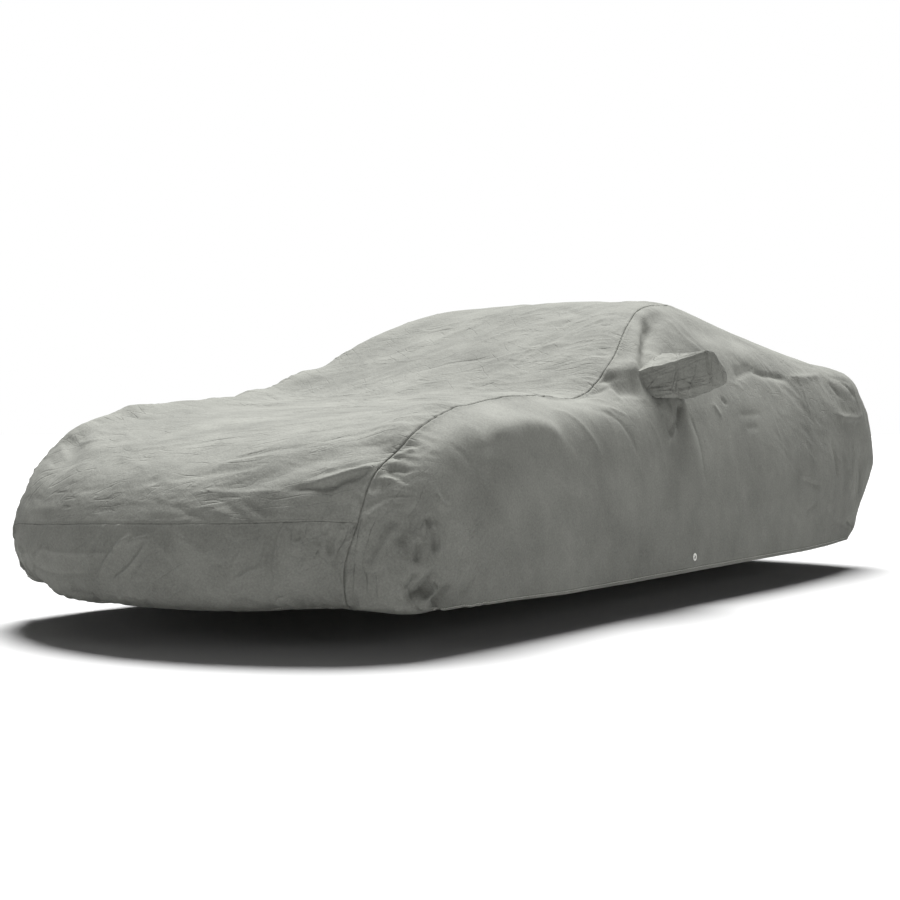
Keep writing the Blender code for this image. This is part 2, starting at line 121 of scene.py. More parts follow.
LAST_V = len(STATIONS) - 1
SEAM_U = 0.46
CLOTH_THICKNESS = 2 * MM
ORIGIN = np.array(
    [0.0, MM * STATIONS[ROOF_TOP_V].centre_y, MM * STATIONS[ROOF_TOP_V].centre_z - CLOTH_THICKNESS]
)
GROUND_Z = -ORIGIN[2]
POCKET_V = (10.12, 11.3)
POCKET_U = (0.55, 0.635)
EYELET_AT = (10.76, 0.975)
EYELET_BLOCK_V = (10.645, 10.875)
# The cut-out round the eyelet reaches from the first to the second height above the hem.
EYELET_BLOCK_RISE_MM = (80.0, 30.0)
# The cover's halves by the sign of u.
HALVES = {1: "left", -1: "right"}
# Middles of the pockets' ends. The right one sits lower and a little further in.
POCKET_TIPS = {1: (0.985, 0.012, 0.942), -1: (-0.975, 0.012, 0.890)}


class Side(Enum):
    """Which half of the cover a fold or a wrinkled area is on."""

    LEFT = (1,)
    RIGHT = (-1,)
    BOTH = (1, -1)


class Crease(NamedTuple):
    """A fold along a path of (v, u): width and height in millimetres, ridge above 0, trough below.

    lean tips the fold's profile over, so that one flank is steeper.
    """

    width_mm: float
    height_mm: float
    lean: float
    path: tuple[tuple[float, float], ...]
    side: Side = Side.LEFT


def creases(*rows: tuple[Any, ...]) -> tuple[Crease, ...]:
    """The rows of a table as creases."""
    return tuple(Crease(*row) for row in rows)


# The main folds, which the CAD solids have too.
MAIN_FOLDS = creases(
    (45, -12, 0, ((3.6, 0.2), (5, 0.42))),
    (45, 12, 0, ((3.5, 0.34), (4.5, 0.46))),
    (55, 14, 0, ((9.5, 0.475), (10.3, 0.565)), Side.BOTH),
    (60, -20, 0, ((9.4, 0.54), (10, 0.61)), Side.BOTH),
    (120, 52, 0, ((8.2, 0.49), (9.95, 0.52)), Side.RIGHT),
    (80, 30, 0, ((4.8, 0.42), (7.1, 0.43)), Side.BOTH),
    (60, -18, 0, ((12, 0.49), (10.9, 0.545)), Side.BOTH),
    (50, 16, 0, ((10.2, 0.645), (10.6, 0.7)), Side.BOTH),
    (80, 12, 0, ((12.4, 0.57), (14.6, 0.6)), Side.BOTH),
    (70, -10, 0, ((12.6, 0.53), (14.6, 0.555)), Side.BOTH),
    (90, 14, 0, ((6, 0.66), (7.9, 0.66)), Side.BOTH),
    (50, -22, 0, ((1.1, 0.72), (2.2, 0.9))),
    (45, -18, 0, ((1.3, 0.88), (2.6, 0.965))),
    (60, 12, 0, ((1.2, 0.64), (2.9, 0.86))),
    (50, -10, 0, ((1.6, 0.53), (3.6, 0.58))),
    (60, -14, 0, ((5.2, -0.42), (4.3, -0.24))),
    (60, 10, 0, ((5.8, -0.4), (4.6, -0.2))),
    (110, 12, 0, ((0.2, -0.3), (1.2, -0.12))),
    (60, -12, 0, ((17, 0.66), (19, 0.7)), Side.BOTH),
    (60, -14, 0, ((18.6, 0.72), (20.6, 0.86)), Side.BOTH),
    (80, -8, 0, ((11.6, 0.12), (12.4, 0.24))),
    (70, -10, 0, ((17.2, -0.3), (17.6, 0.34))),
    (70, -10, 0, ((15.6, 0.66), (16.6, 0.74)), Side.BOTH),
)

# Finer creases by the place where they lie.
FRONT_TOP_CREASES = creases(
    (26, -6.2, 0.3, ((4.62, 0.137), (4.84, 0.2), (5.06, 0.265), (5.12, 0.312))),
    (22, -5, 0.3, ((5.12, 0.312), (5.32, 0.338), (5.36, 0.39), (5.22, 0.415))),
    (26, 5, 0, ((4.4, 0.15), (4.56, 0.188), (4.84, 0.308))),
    (30, -5, 0, ((6.12, 0.292), (6.28, 0.34))),
    (34, -5, 0, ((6, 0.423), (6.52, 0.468))),
    (22, -5, 0.3, ((5.54, 0.377), (5.56, 0.453))),
    (18, -2.5, 0, ((4.88, 0.365), (4.94, 0.445))),
    (18, 8.8, 0.4, ((3.8, 0.367), (4.06, 0.413), (4.36, 0.465))),
    (20, -6.2, 0.3, ((3.98, 0.35), (4.12, 0.39), (4.38, 0.445))),
    (22, -12, 0.4, ((3.74, 0.33), (3.76, 0.38), (3.94, 0.415), (4.22, 0.458))),
    (16, 3.8, 0.3, ((3.78, 0.143), (3.76, 0.25), (3.74, 0.357))),
    (14, -2.5, 0.3, ((8.06, -0.132), (8.34, -0.035), (8.08, 0.115))),
    (14, 2.5, 0.3, ((9.34, 0.022), (9.32, 0.113), (9.26, 0.175), (9.22, 0.265))),
    (30, -5, 0, ((4.08, 0.07), (4.28, 0.183), (4.48, 0.275))),
    (24, -6.2, 0, ((4.18, 0.035), (3.98, 0.05))),
    (16, -3.8, 0.2, ((3.48, 0.115), (3.24, 0.17), (3, 0.228))),
    (16, 3.8, 0.2, ((3.42, 0.193), (3.16, 0.265))),
    (14, -3.8, 0.2, ((3.74, 0.21), (3.4, 0.25), (3.12, 0.288))),
    (14, -3.8, 0.2, ((3.58, 0.26), (3.06, 0.33))),
    (14, -3.8, 0.2, ((3.02, 0.42), (3.22, 0.415), (3.3, 0.423))),
    (16, -5, 0.2, ((3.44, 0.44), (3.58, 0.455))),
    (22, 3.8, 0, ((5.9, 0.06), (6.3, 0.2), (6.5, 0.36))),
    (16, -2.5, 0.3, ((6.9, 0.1), (7.1, 0.24), (7.2, 0.4))),
    (14, 2, 0.3, ((7.6, 0.2), (7.7, 0.32), (7.6, 0.44))),
    (18, -3, 0.3, ((5, -0.05), (5.5, 0.08), (5.8, 0.22))),
)
FAR_FRONT_CREASES = creases(
    (16, -2, 0.2, ((3.76, -0.195), (3.82, -0.062))),
    (22, -5, 0.2, ((5.68, -0.427), (5.68, -0.38))),
    (22, -4, 0.2, ((6.22, -0.407), (6.36, -0.29))),
    (24, 4, 0, ((5.88, -0.385), (5.6, -0.25), (5.28, -0.125))),
    (22, -4, 0, ((5.46, -0.3), (4.86, -0.098))),
    (22, 4, 0, ((4.82, -0.145), (4.36, -0.005))),
    (30, -6, 0, ((4.6, -0.45), (4.3, -0.323))),
    (20, 4, 0, ((4.95, -0.45), (4.52, -0.3))),
    (14, -2, 0.2, ((3.5, -0.4), (3.56, -0.26))),
    (14, 2, 0.2, ((3.3, -0.36), (3.34, -0.2))),
    (16, -2.5, 0.2, ((4.1, -0.42), (4.02, -0.24))),
    (30, -5, 0, ((8.66, -0.41), (8.52, -0.323))),
)
FRONT_LOW_CREASES = creases(
    (20, 5.4, 0.2, ((2.92, 0.125), (2.48, 0.193), (2.2, 0.24))),
    (20, 5.4, 0.2, ((2.78, 0.093), (2.2, 0.145), (1.62, 0.193))),
    (16, 5.4, 0.2, ((2.84, 0.258), (2.6, 0.288))),
    (16, -3.6, 0, ((2, 0.232), (2.06, 0.305))),
    (14, -7.2, 0.3, ((2.9, 0.373), (2.52, 0.38))),
    (14, -5.4, 0.3, ((2.88, 0.4), (2.5, 0.408), (2.16, 0.415))),
    (12, -5.4, 0.3, ((2.94, 0.415), (2.66, 0.42))),
    (14, -10.8, 0.4, ((2.78, 0.423), (2.48, 0.43), (2.18, 0.435))),
    (12, -7.2, 0.3, ((2.84, 0.44), (2.44, 0.448))),
    (20, -9, 0, ((1.24, -0.22), (1, -0.14), (0.78, -0.06))),
    (16, 7.2, 0, ((1.28, -0.06), (0.98, 0.022))),
    (16, 7.2, 0, ((1.28, -0.017), (1.06, 0.075))),
    (14, -7.2, 0, ((1.5, 0.12), (1.34, 0.133), (1.18, 0.147))),
    (16, 7.2, 0, ((1.26, 0.3), (1.16, 0.32))),
    (14, -7.2, 0, ((1.2, 0.347), (1.2, 0.365))),
    (18, 5.4, 0, ((2.3, -0.3), (2.2, -0.12), (2.25, 0.02))),
    (18, -5.4, 0, ((1.8, -0.36), (1.6, -0.2), (1.7, -0.05))),
)
FRONT_CORNER_CREASES = creases(
    (20, -7.4, 0.3, ((4.24, 0.49), (4.3, 0.53), (4.26, 0.578))),
    (14, -4.4, 0.3, ((4.88, 0.47), (5.04, 0.535))),
    (12, -4.4, 0.3, ((4.64, 0.47), (4.5, 0.52))),
    (12, 4.4, 0.2, ((4.36, 0.472), (4.48, 0.498), (4.62, 0.522))),
    (13, -5.4, 0.2, ((4.28, 0.485), (4.14, 0.535), (4.02, 0.6))),
    (12, 5.2, 0.2, ((4.02, 0.488), (4.06, 0.508), (3.98, 0.552))),
    (12, 4.4, 0.2, ((4.62, 0.475), (4.72, 0.495), (4.98, 0.51))),
    (30, 16, 0.2, ((3.56, 0.568), (3.2, 0.5), (2.68, 0.49), (2.38, 0.472))),
    (24, 14.4, 0.2, ((3.16, 0.62), (2.7, 0.588), (2.14, 0.573), (1.86, 0.573))),
    (30, -14.4, 0.2, ((3.68, 0.635), (3.06, 0.645), (2.52, 0.645))),
    (18, -17.6, 0.3, ((3.58, 0.677), (3.38, 0.72), (2.7, 0.782))),
    (20, 14.4, 0.2, ((3.56, 0.698), (3.24, 0.752), (2.68, 0.81))),
    (18, -12.8, 0.3, ((2.98, 0.698), (2.3, 0.738))),
    (20, -16, 0.3, ((2.1, 0.768), (1.62, 0.745))),
    (40, -24, 0.4, ((2.34, 0.815), (1.96, 0.84), (1.34, 0.795))),
    (34, -22, 0.4, ((2.32, 0.903), (1.76, 0.92), (1.44, 0.93))),
    (30, 28.8, 0.2, ((2.12, 0.87), (1.64, 0.875), (1.28, 0.848))),
    (20, -9.6, 0.3, ((3.2, 0.9), (2.7, 0.93), (2.2, 0.955))),
)
SIDE_CREASES = creases(
    (26, -3.8, 0, ((9.04, 0.57), (9.42, 0.627))),
    (26, 5, 0, ((9.4, 0.6), (10.02, 0.643))),
    (24, 11.2, 0.3, ((10.18, 0.65), (10.14, 0.688), (10.64, 0.7), (11.02, 0.67))),
    (24, -20, 0.3, ((10.52, 0.715), (10.64, 0.705), (10.98, 0.673), (11.1, 0.655))),
    (22, 6.2, 0, ((12.22, 0.675), (12.36, 0.718))),
    (20, -6.2, 0.3, ((12.56, 0.67), (12.72, 0.69))),
    (26, -3.8, 0, ((12.9, 0.718), (13.66, 0.728))),
    (22, -3.8, 0, ((13.04, 0.75), (13.46, 0.755))),
    (20, -3.1, 0.2, ((8.6, 0.62), (9.1, 0.7), (9.3, 0.8))),
    (20, 3.1, 0.2, ((9.7, 0.68), (9.9, 0.76), (9.9, 0.88))),
    (24, -3.8, 0.2, ((11.2, 0.68), (11.3, 0.76), (11.2, 0.86))),
    (22, 3.1, 0.2, ((7.9, 0.6), (8.3, 0.68), (8.4, 0.78))),
    (20, -3.1, 0.2, ((5.3, 0.6), (5.2, 0.72), (5, 0.84))),
)
# Broad folds with round crests, on the upper side and over the front shoulder.
SOFT_FOLDS = creases(
    (30, 15, 0, ((12.9, 0.478), (11.9, 0.481), (11.1, 0.5), (10.3, 0.526), (9.8, 0.535))),
    (22, -20, 0, ((12.7, 0.492), (11.92, 0.496), (11.14, 0.517), (10.36, 0.545))),
    (32, 7, 0, ((12.3, 0.52), (11.8, 0.538), (11.2, 0.55), (10.9, 0.556))),
    (26, 8, 0, ((9.5, 0.462), (10, 0.502), (10.36, 0.54))),
    (44, 7, 0, ((9.2, 0.5), (9.6, 0.54), (10, 0.59))),
)
SHOULDER_FOLDS = creases(
    (44, 15.6, 0, ((5.5, 0.715), (5.8, 0.69), (6.25, 0.68), (6.92, 0.662), (7.3, 0.664))),
    (44, 15.6, 0, ((6.92, 0.662), (7.28, 0.664), (7.5, 0.676), (7.8, 0.71))),
)
UPPER_SIDE_CREASES = creases(
    (26, 6.5, 0.2, ((9.6, 0.462), (10.1, 0.542), (10.62, 0.558), (11.18, 0.575))),
    (24, -7.8, 0.3, ((11.92, 0.492), (11.4, 0.505), (10.8, 0.52), (10.4, 0.54))),
    (18, -6.5, 0.3, ((9.38, 0.468), (9.52, 0.482), (9.8, 0.535))),
    (18, -5.2, 0.3, ((9.06, 0.472), (9.28, 0.51), (9.6, 0.53))),
    (20, -5.2, 0.3, ((13.24, 0.627), (13.6, 0.622), (13.9, 0.623))),
    (18, 3.9, 0.3, ((13.24, 0.58), (13.66, 0.595), (13.9, 0.623), (14.08, 0.633))),
    (20, -3.9, 0.3, ((11.6, 0.55), (12.2, 0.575), (12.8, 0.59))),
    (18, 3.9, 0.3, ((12, 0.64), (12.6, 0.625), (13.1, 0.62))),
)
ROOF_CREASES = creases(
    (40, -8.5, 0, ((12.22, 0.115), (12.04, 0.2), (11.5, 0.278))),
    (22, -5.1, 0.2, ((11.16, 0.238), (11.5, 0.248))),
    (20, -5.1, 0.2, ((11.16, 0.353), (11.34, 0.37))),
    (20, -5.1, 0.2, ((11.48, 0.363), (11.72, 0.407))),
    (26, -5.1, 0.2, ((11.12, 0.363), (11, 0.425))),
    (20, -5.1, 0.2, ((10.04, 0.407), (10.06, 0.453))),
    (20, -5.1, 0.2, ((10.28, 0.415), (10.16, 0.443))),
    (22, -3.4, 0, ((11.72, -0.21), (11.3, -0.19), (10.82, -0.177))),
    (22, -3.4, 0, ((11.34, -0.135), (10.66, -0.085))),
    (26, 5.1, 0.2, ((9.8, 0.1), (10.3, 0.22), (10.6, 0.36))),
    (24, -5.1, 0.2, ((9.6, -0.1), (10, 0.03), (10.2, 0.18))),
)
REAR_CREASES = creases(
    (26, -11, 0.3, ((13.22, 0.633), (13.56, 0.627), (13.88, 0.627))),
    (30, -12, 0.3, ((13.74, 0.605), (13.88, 0.627), (14.38, 0.65), (14.78, 0.657))),
    (26, -6, 0.3, ((15.22, 0.605), (16, 0.595))),
    (32, 10, 0.2, ((14.58, 0.655), (15.24, 0.653), (15.84, 0.637))),
    (26, -9, 0.2, ((15.9, 0.653), (16.34, 0.705))),
    (26, -9, 0.2, ((16.32, 0.653), (16.92, 0.7))),
    (24, -5, 0.2, ((15.94, 0.637), (16.84, 0.663))),
    (30, 12, 0.2, ((15.8, 0.73), (16.4, 0.745), (16.86, 0.742), (17.58, 0.695))),
    (24, -10, 0.2, ((15.78, 0.785), (16.1, 0.838), (16.34, 0.877))),
    (24, 9, 0.2, ((16.38, 0.812), (17.06, 0.863), (18.24, 0.873))),
    (24, -9, 0.2, ((17.34, 0.8), (18.3, 0.83), (18.6, 0.87))),
    (26, -9, 0.2, ((14.58, 0.87), (15.56, 0.89))),
    (20, -5, 0.2, ((15.48, 0.917), (14.94, 0.933))),
    (24, -6, 0.2, ((15.82, 0.92), (16.6, 0.95), (18.2, 0.958), (19.78, 0.96))),
    (30, -20, 0.2, ((18.02, 0.948), (19.3, 0.93), (20.16, 0.91))),
)


@dataclass(frozen=True)
class CreaseGroup:
    """Creases of one place, whether the hidden side repeats them, and if their crests are sharp."""

    creases: tuple[Crease, ...]
    mirrored: bool = False
    sharp: bool = True


CREASE_GROUPS = (
    CreaseGroup(FRONT_TOP_CREASES),
    CreaseGroup(FAR_FRONT_CREASES),
    CreaseGroup(FRONT_LOW_CREASES),
    CreaseGroup(FRONT_CORNER_CREASES, mirrored=True),
    CreaseGroup(SIDE_CREASES, mirrored=True),
    CreaseGroup(UPPER_SIDE_CREASES, mirrored=True),
    CreaseGroup(SOFT_FOLDS + SHOULDER_FOLDS, mirrored=True, sharp=False),
    CreaseGroup(ROOF_CREASES),
    CreaseGroup(REAR_CREASES, mirrored=True),
)


class Grain(Enum):
    """How a wrinkled area breaks up: rolling, with sharp crests, or with thin scattered lines."""

    ROLLING = 1
    CRESTED = 2
    THIN = 3


class Near(Enum):
    """What a wrinkled area keeps near to."""

    NOTHING = 0
    SIDE_SEAM = 1
    FRONT_SEAM = 2
    SIDE_HEM = 3


class Wrinkles(NamedTuple):
    """A wrinkled area between two stations and two places across.

    long_mm and short_mm are the wrinkles' spacings along and across their run, and turn is the
    run's angle in degrees from the line across the cover. An area that keeps near to a seam
    or a hem fades out as a bell of the width reach_mm from it.
    """

    v_start: float
    v_end: float
    u_start: float
    u_end: float
    long_mm: float
    short_mm: float
    turn: float
    height_mm: float
    grain: Grain
    near: Near = Near.NOTHING
    reach_mm: float = 0.0


WRINKLES = (
    # The whole cloth: slow swells, and a light crumple under everything else.
    Wrinkles(0, 21, -1, 1, 420, 260, 20, 2.4, Grain.ROLLING),
    Wrinkles(0, 21, -1, 1, 130, 90, -30, 0.4, Grain.CRESTED),
    # The front top: fine lines across it, slanting ones on its far half, long ones further back.
    Wrinkles(3.0, 5.2, -0.46, 0.46, 260, 24, 4, 0.8, Grain.CRESTED),
    Wrinkles(3.0, 4.4, -0.46, 0.46, 180, 50, -4, 1.2, Grain.THIN),
    Wrinkles(3.2, 6.5, -0.46, -0.05, 340, 130, -32, 1.8, Grain.CRESTED),
    Wrinkles(3.6, 6.5, -0.46, 0.0, 300, 110, -25, 1.2, Grain.THIN),
    Wrinkles(4.4, 9, -0.46, 0.46, 600, 130, 14, 2.4, Grain.CRESTED),
    Wrinkles(4.4, 9, -0.46, 0.46, 380, 60, 14, 0.5, Grain.CRESTED),
    Wrinkles(4.6, 9, -0.46, 0.46, 330, 75, 22, 2.8, Grain.THIN),
    Wrinkles(6, 9.4, -0.46, 0.46, 240, 60, -12, 2.2, Grain.THIN),
    # The slope up to the top and the top itself.
    Wrinkles(9, 13.2, -0.46, 0.46, 300, 80, 62, 2.8, Grain.THIN),
    Wrinkles(9, 13.2, -0.46, 0.46, 480, 170, 55, 4.4, Grain.CRESTED),
    Wrinkles(9, 13.2, -0.46, 0.46, 260, 80, 40, 0.6, Grain.CRESTED),
    Wrinkles(8.8, 12, 0.10, 0.46, 160, 40, 10, 2.4, Grain.THIN),
    # The low front panel.
    Wrinkles(1, 3, -0.46, 0.46, 170, 70, 60, 1.4, Grain.CRESTED),
    Wrinkles(1, 3, -0.46, 0.46, 220, 60, 40, 4.6, Grain.THIN),
    Wrinkles(1.8, 3.3, 0.35, 0.47, 200, 30, 88, 7.0, Grain.THIN),
    Wrinkles(0.2, 1.4, -0.5, 0.5, 110, 46, 60, 4.0, Grain.CRESTED),
    # The crumpled front corners.
    Wrinkles(0.5, 3.4, 0.47, 1.0, 220, 60, 76, 5.0, Grain.CRESTED),
    Wrinkles(0.8, 4.2, 0.47, 0.9, 200, 44, -76, 6.5, Grain.THIN),
    Wrinkles(3.4, 5.0, 0.46, 0.60, 110, 34, 15, 3.6, Grain.CRESTED),
    # The flat sides, with only faint upright streaks, and the tugged cloth round the pockets.
    Wrinkles(4.6, 15, 0.60, 1.0, 420, 120, -3, 0.5, Grain.ROLLING),
    Wrinkles(4.6, 15, 0.60, 1.0, 300, 110, 6, 0.4, Grain.THIN),
    Wrinkles(8.6, 15, 0.46, 0.62, 260, 110, 74, 1.6, Grain.CRESTED),
    Wrinkles(8.8, 14, 0.46, 0.64, 220, 80, 60, 2.4, Grain.THIN),
    # The rear corners and the rear top.
    Wrinkles(14, 20, 0.55, 1.0, 240, 60, 62, 1.6, Grain.CRESTED),
    Wrinkles(14, 20.5, 0.58, 1.0, 240, 55, 25, 2.0, Grain.THIN),
    Wrinkles(13, 21, -0.46, 0.46, 320, 90, 15, 1.6, Grain.CRESTED),
    Wrinkles(19.6, 21, -0.8, 0.8, 100, 45, 85, 2.4, Grain.CRESTED),
    # Puckers square to the seams and the hems.
    Wrinkles(0.8, 21, 0.30, 0.62, 90, 30, 0, 0.7, Grain.CRESTED, Near.SIDE_SEAM, 34),
    Wrinkles(2.6, 6.5, 0.30, 0.62, 150, 46, 0, 2.4, Grain.CRESTED, Near.SIDE_SEAM, 75),
    Wrinkles(2.2, 3.8, -0.46, 0.46, 70, 20, 90, 0.8, Grain.CRESTED, Near.FRONT_SEAM, 30),
    Wrinkles(1, 21, 0.8, 1.0, 80, 26, 0, 0.8, Grain.CRESTED, Near.SIDE_HEM, 35),
)


class FineCreases(NamedTuple):
    """How strongly an area is covered by creases too thin for the mesh, which the bump draws.

    across, along, slant and counter are the strengths of the creases that run across the
    cover, along it, and at the two angles between. crumple is that of the uneven crumpling.
    """

    v_start: float
    v_end: float
    u_start: float
    u_end: float
    across: float
    along: float
    slant: float
    counter: float
    crumple: float


FINE_CREASES = (
    FineCreases(0, 21, -1, 1, 0.05, 0.05, 0.08, 0.08, 0.18),
    # The front top, its left half, the low front panel, and its end beside the corner.
    FineCreases(2.9, 5.0, -0.20, 0.46, 0.40, 0.00, 0.00, 0.00, 0.15),
    FineCreases(3.6, 9.2, 0.05, 0.46, 0.10, 0.00, 0.45, 0.00, 0.15),
    FineCreases(0.0, 2.9, -0.46, 0.46, 0.00, 0.10, 0.25, 0.15, 0.30),
    FineCreases(1.9, 3.2, 0.37, 0.60, 0.00, 0.60, 0.00, 0.00, 0.30),
    # The long front top and the slope up to the roof.
    FineCreases(5.0, 9.2, -0.46, 0.46, 0.50, 0.00, 0.25, 0.10, 0.25),
    FineCreases(9.2, 13.5, -0.46, 0.46, 0.10, 0.10, 0.70, 0.40, 0.25),
    # The crumpled corner, the upper side, and the rear.
    FineCreases(0.2, 4.4, 0.47, 1.0, 0.05, 0.45, 0.00, 0.00, 0.50),
    FineCreases(9.0, 14.5, 0.47, 0.68, 0.10, 0.20, 0.15, 0.10, 0.15),
    FineCreases(14.5, 21, 0.5, 1.0, 0.10, 0.30, 0.15, 0.10, 0.20),
    FineCreases(13.5, 21, -0.46, 0.46, 0.20, 0.10, 0.40, 0.30, 0.25),
)
# The attributes of a mesh that hold them.
FINE_ATTRIBUTES = ("creases_across", "creases_along", "creases_slant", "creases_counter", "crumple")
# Puckers square to the side seams: their strength and how far from the seam they reach.
SEAM_PUCKER = 0.5
SEAM_PUCKER_REACH = 40 * MM


def tangents_of(points: Array) -> tuple[Array, Array]:
    """Chord lengths and end slopes of the cubic pieces through points.

    The slope at a point is that of the parabola through it and its two neighbours, measured
    by the distance between them.

    Args:
        points: (count, ..., 3) points of one or many curves.

    Returns:
        Chord lengths (count - 1, ..., 1) and slopes (count, ..., 3).
    """
    length = np.linalg.norm(np.diff(points, axis=0), axis=-1, keepdims=True) + 1e-9
    slope = np.diff(points, axis=0) / length
    tangent = np.empty_like(points)
    tangent[1:-1] = length[1:] * slope[:-1] + length[:-1] * slope[1:]
    tangent[1:-1] /= length[1:] + length[:-1]
    tangent[0] = 1.5 * slope[0] - 0.5 * tangent[1]
    tangent[-1] = 1.5 * slope[-1] - 0.5 * tangent[-2]
    return length, tangent


def on_curves(points: Array, at: Array, rows: Array | None = None) -> Array:
    """Reads smooth curves through points at the places `at`, which count points.

    Args:
        points: (count, ..., 3) points of the curves.
        at: places along them, one for each answer.
        rows: which curve each place is on, where every curve is read at its own places.

    Returns:
        The points there.
    """
    length, tangent = tangents_of(points)
    piece = np.clip(at.astype(int), 0, len(points) - 2)
    t = at - piece
    first = (piece,) if rows is None else (piece, rows)
    second = (piece + 1,) if rows is None else (piece + 1, rows)
    t = t.reshape(t.shape + (1,) * (points[first].ndim - t.ndim))
    start = (2 * t**3 - 3 * t**2 + 1) * points[first] + (3 * t**2 - 2 * t**3) * points[second]
    bend = (t**3 - 2 * t**2 + t) * tangent[first] + (t**3 - t**2) * tangent[second]
    return start + length[first] * bend


def soft_step(x: Array) -> Array:
    """0 below 0, 1 above 1, and 3x^2 - 2x^3 between."""
    x = np.clip(x, 0, 1)
    return x * x * (3 - 2 * x)


def bell(x: Array) -> Array:
    """The bell exp(-x^2)."""
    return np.exp(-(x * x))


def crested(noise: Array, top: float, slope: float, blunt: float) -> Array:
    """Noise with sharp crests: top less slope times its size, rounded a little at the crest."""
    return top - slope * np.sqrt(noise**2 + blunt)


def path_lengths(points: Array, axis: int = 0) -> Array:
    """Lengths along paths of points, which run down one axis, from each path's first point."""
    step = np.linalg.norm(np.diff(points, axis=axis), axis=-1)
    return np.concatenate([np.zeros_like(step.take([0], axis)), np.cumsum(step, axis)], axis)


def gradient_noise(x: Array, y: Array, seed: int) -> Array:
    """Smooth noise of about -1 to 1 with a hill or hollow for each unit of x and y.

    Each whole-number corner has a random slope; the four corners' slopes are joined by the
    step 6t^5 - 15t^4 + 10t^3.

    Args:
        x: First coordinate.
        y: Second coordinate.
        seed: Picks the pattern.

    Returns:
        The noise at each point.
    """
    size = 256
    angle = np.random.default_rng(seed).uniform(0, 2 * math.pi, (size, size))
    slope_x, slope_y = np.cos(angle), np.sin(angle)
    cell_x, cell_y = np.floor(x).astype(int), np.floor(y).astype(int)
    part_x, part_y = x - cell_x, y - cell_y
    step_x = part_x**3 * (part_x * (6 * part_x - 15) + 10)
    step_y = part_y**3 * (part_y * (6 * part_y - 15) + 10)

    def corner(dx: int, dy: int) -> Array:
        """The height that one corner's slope gives."""
        place = ((cell_x + dx) % size, (cell_y + dy) % size)
        return slope_x[place] * (part_x - dx) + slope_y[place] * (part_y - dy)

    low = corner(0, 0) * (1 - step_x) + corner(1, 0) * step_x
    high = corner(0, 1) * (1 - step_x) + corner(1, 1) * step_x
    return 1.5 * (low * (1 - step_y) + high * step_y)


def area_mask(
    v: Array,
    u: Array,
    area: Wrinkles | FineCreases,
    v_ease: tuple[float, float],
    u_ease: tuple[float, float],
) -> Array:
    """How much each point is in an area: 1 inside it, and soft steps down to 0 at its edges.

    Args:
        v: (n,) stations.
        u: (n, m) places across.
        area: The area. It is on both halves of the cloth if its u_start isn't below 0.
        v_ease: How far past an edge a step reaches, and how long it is, in stations.
        u_ease: The same in places across.

    Returns:
        (n, m) shares from 0 to 1.
    """
    half = np.abs(u) if area.u_start >= 0 else u
    mask = soft_step((v[:, None] - area.v_start + v_ease[0]) / v_ease[1])
    mask = mask * soft_step((area.v_end + v_ease[0] - v[:, None]) / v_ease[1])
    mask = mask * soft_step((half - area.u_start + u_ease[0]) / u_ease[1])
    return mask * soft_step((area.u_end + u_ease[0] - half) / u_ease[1])


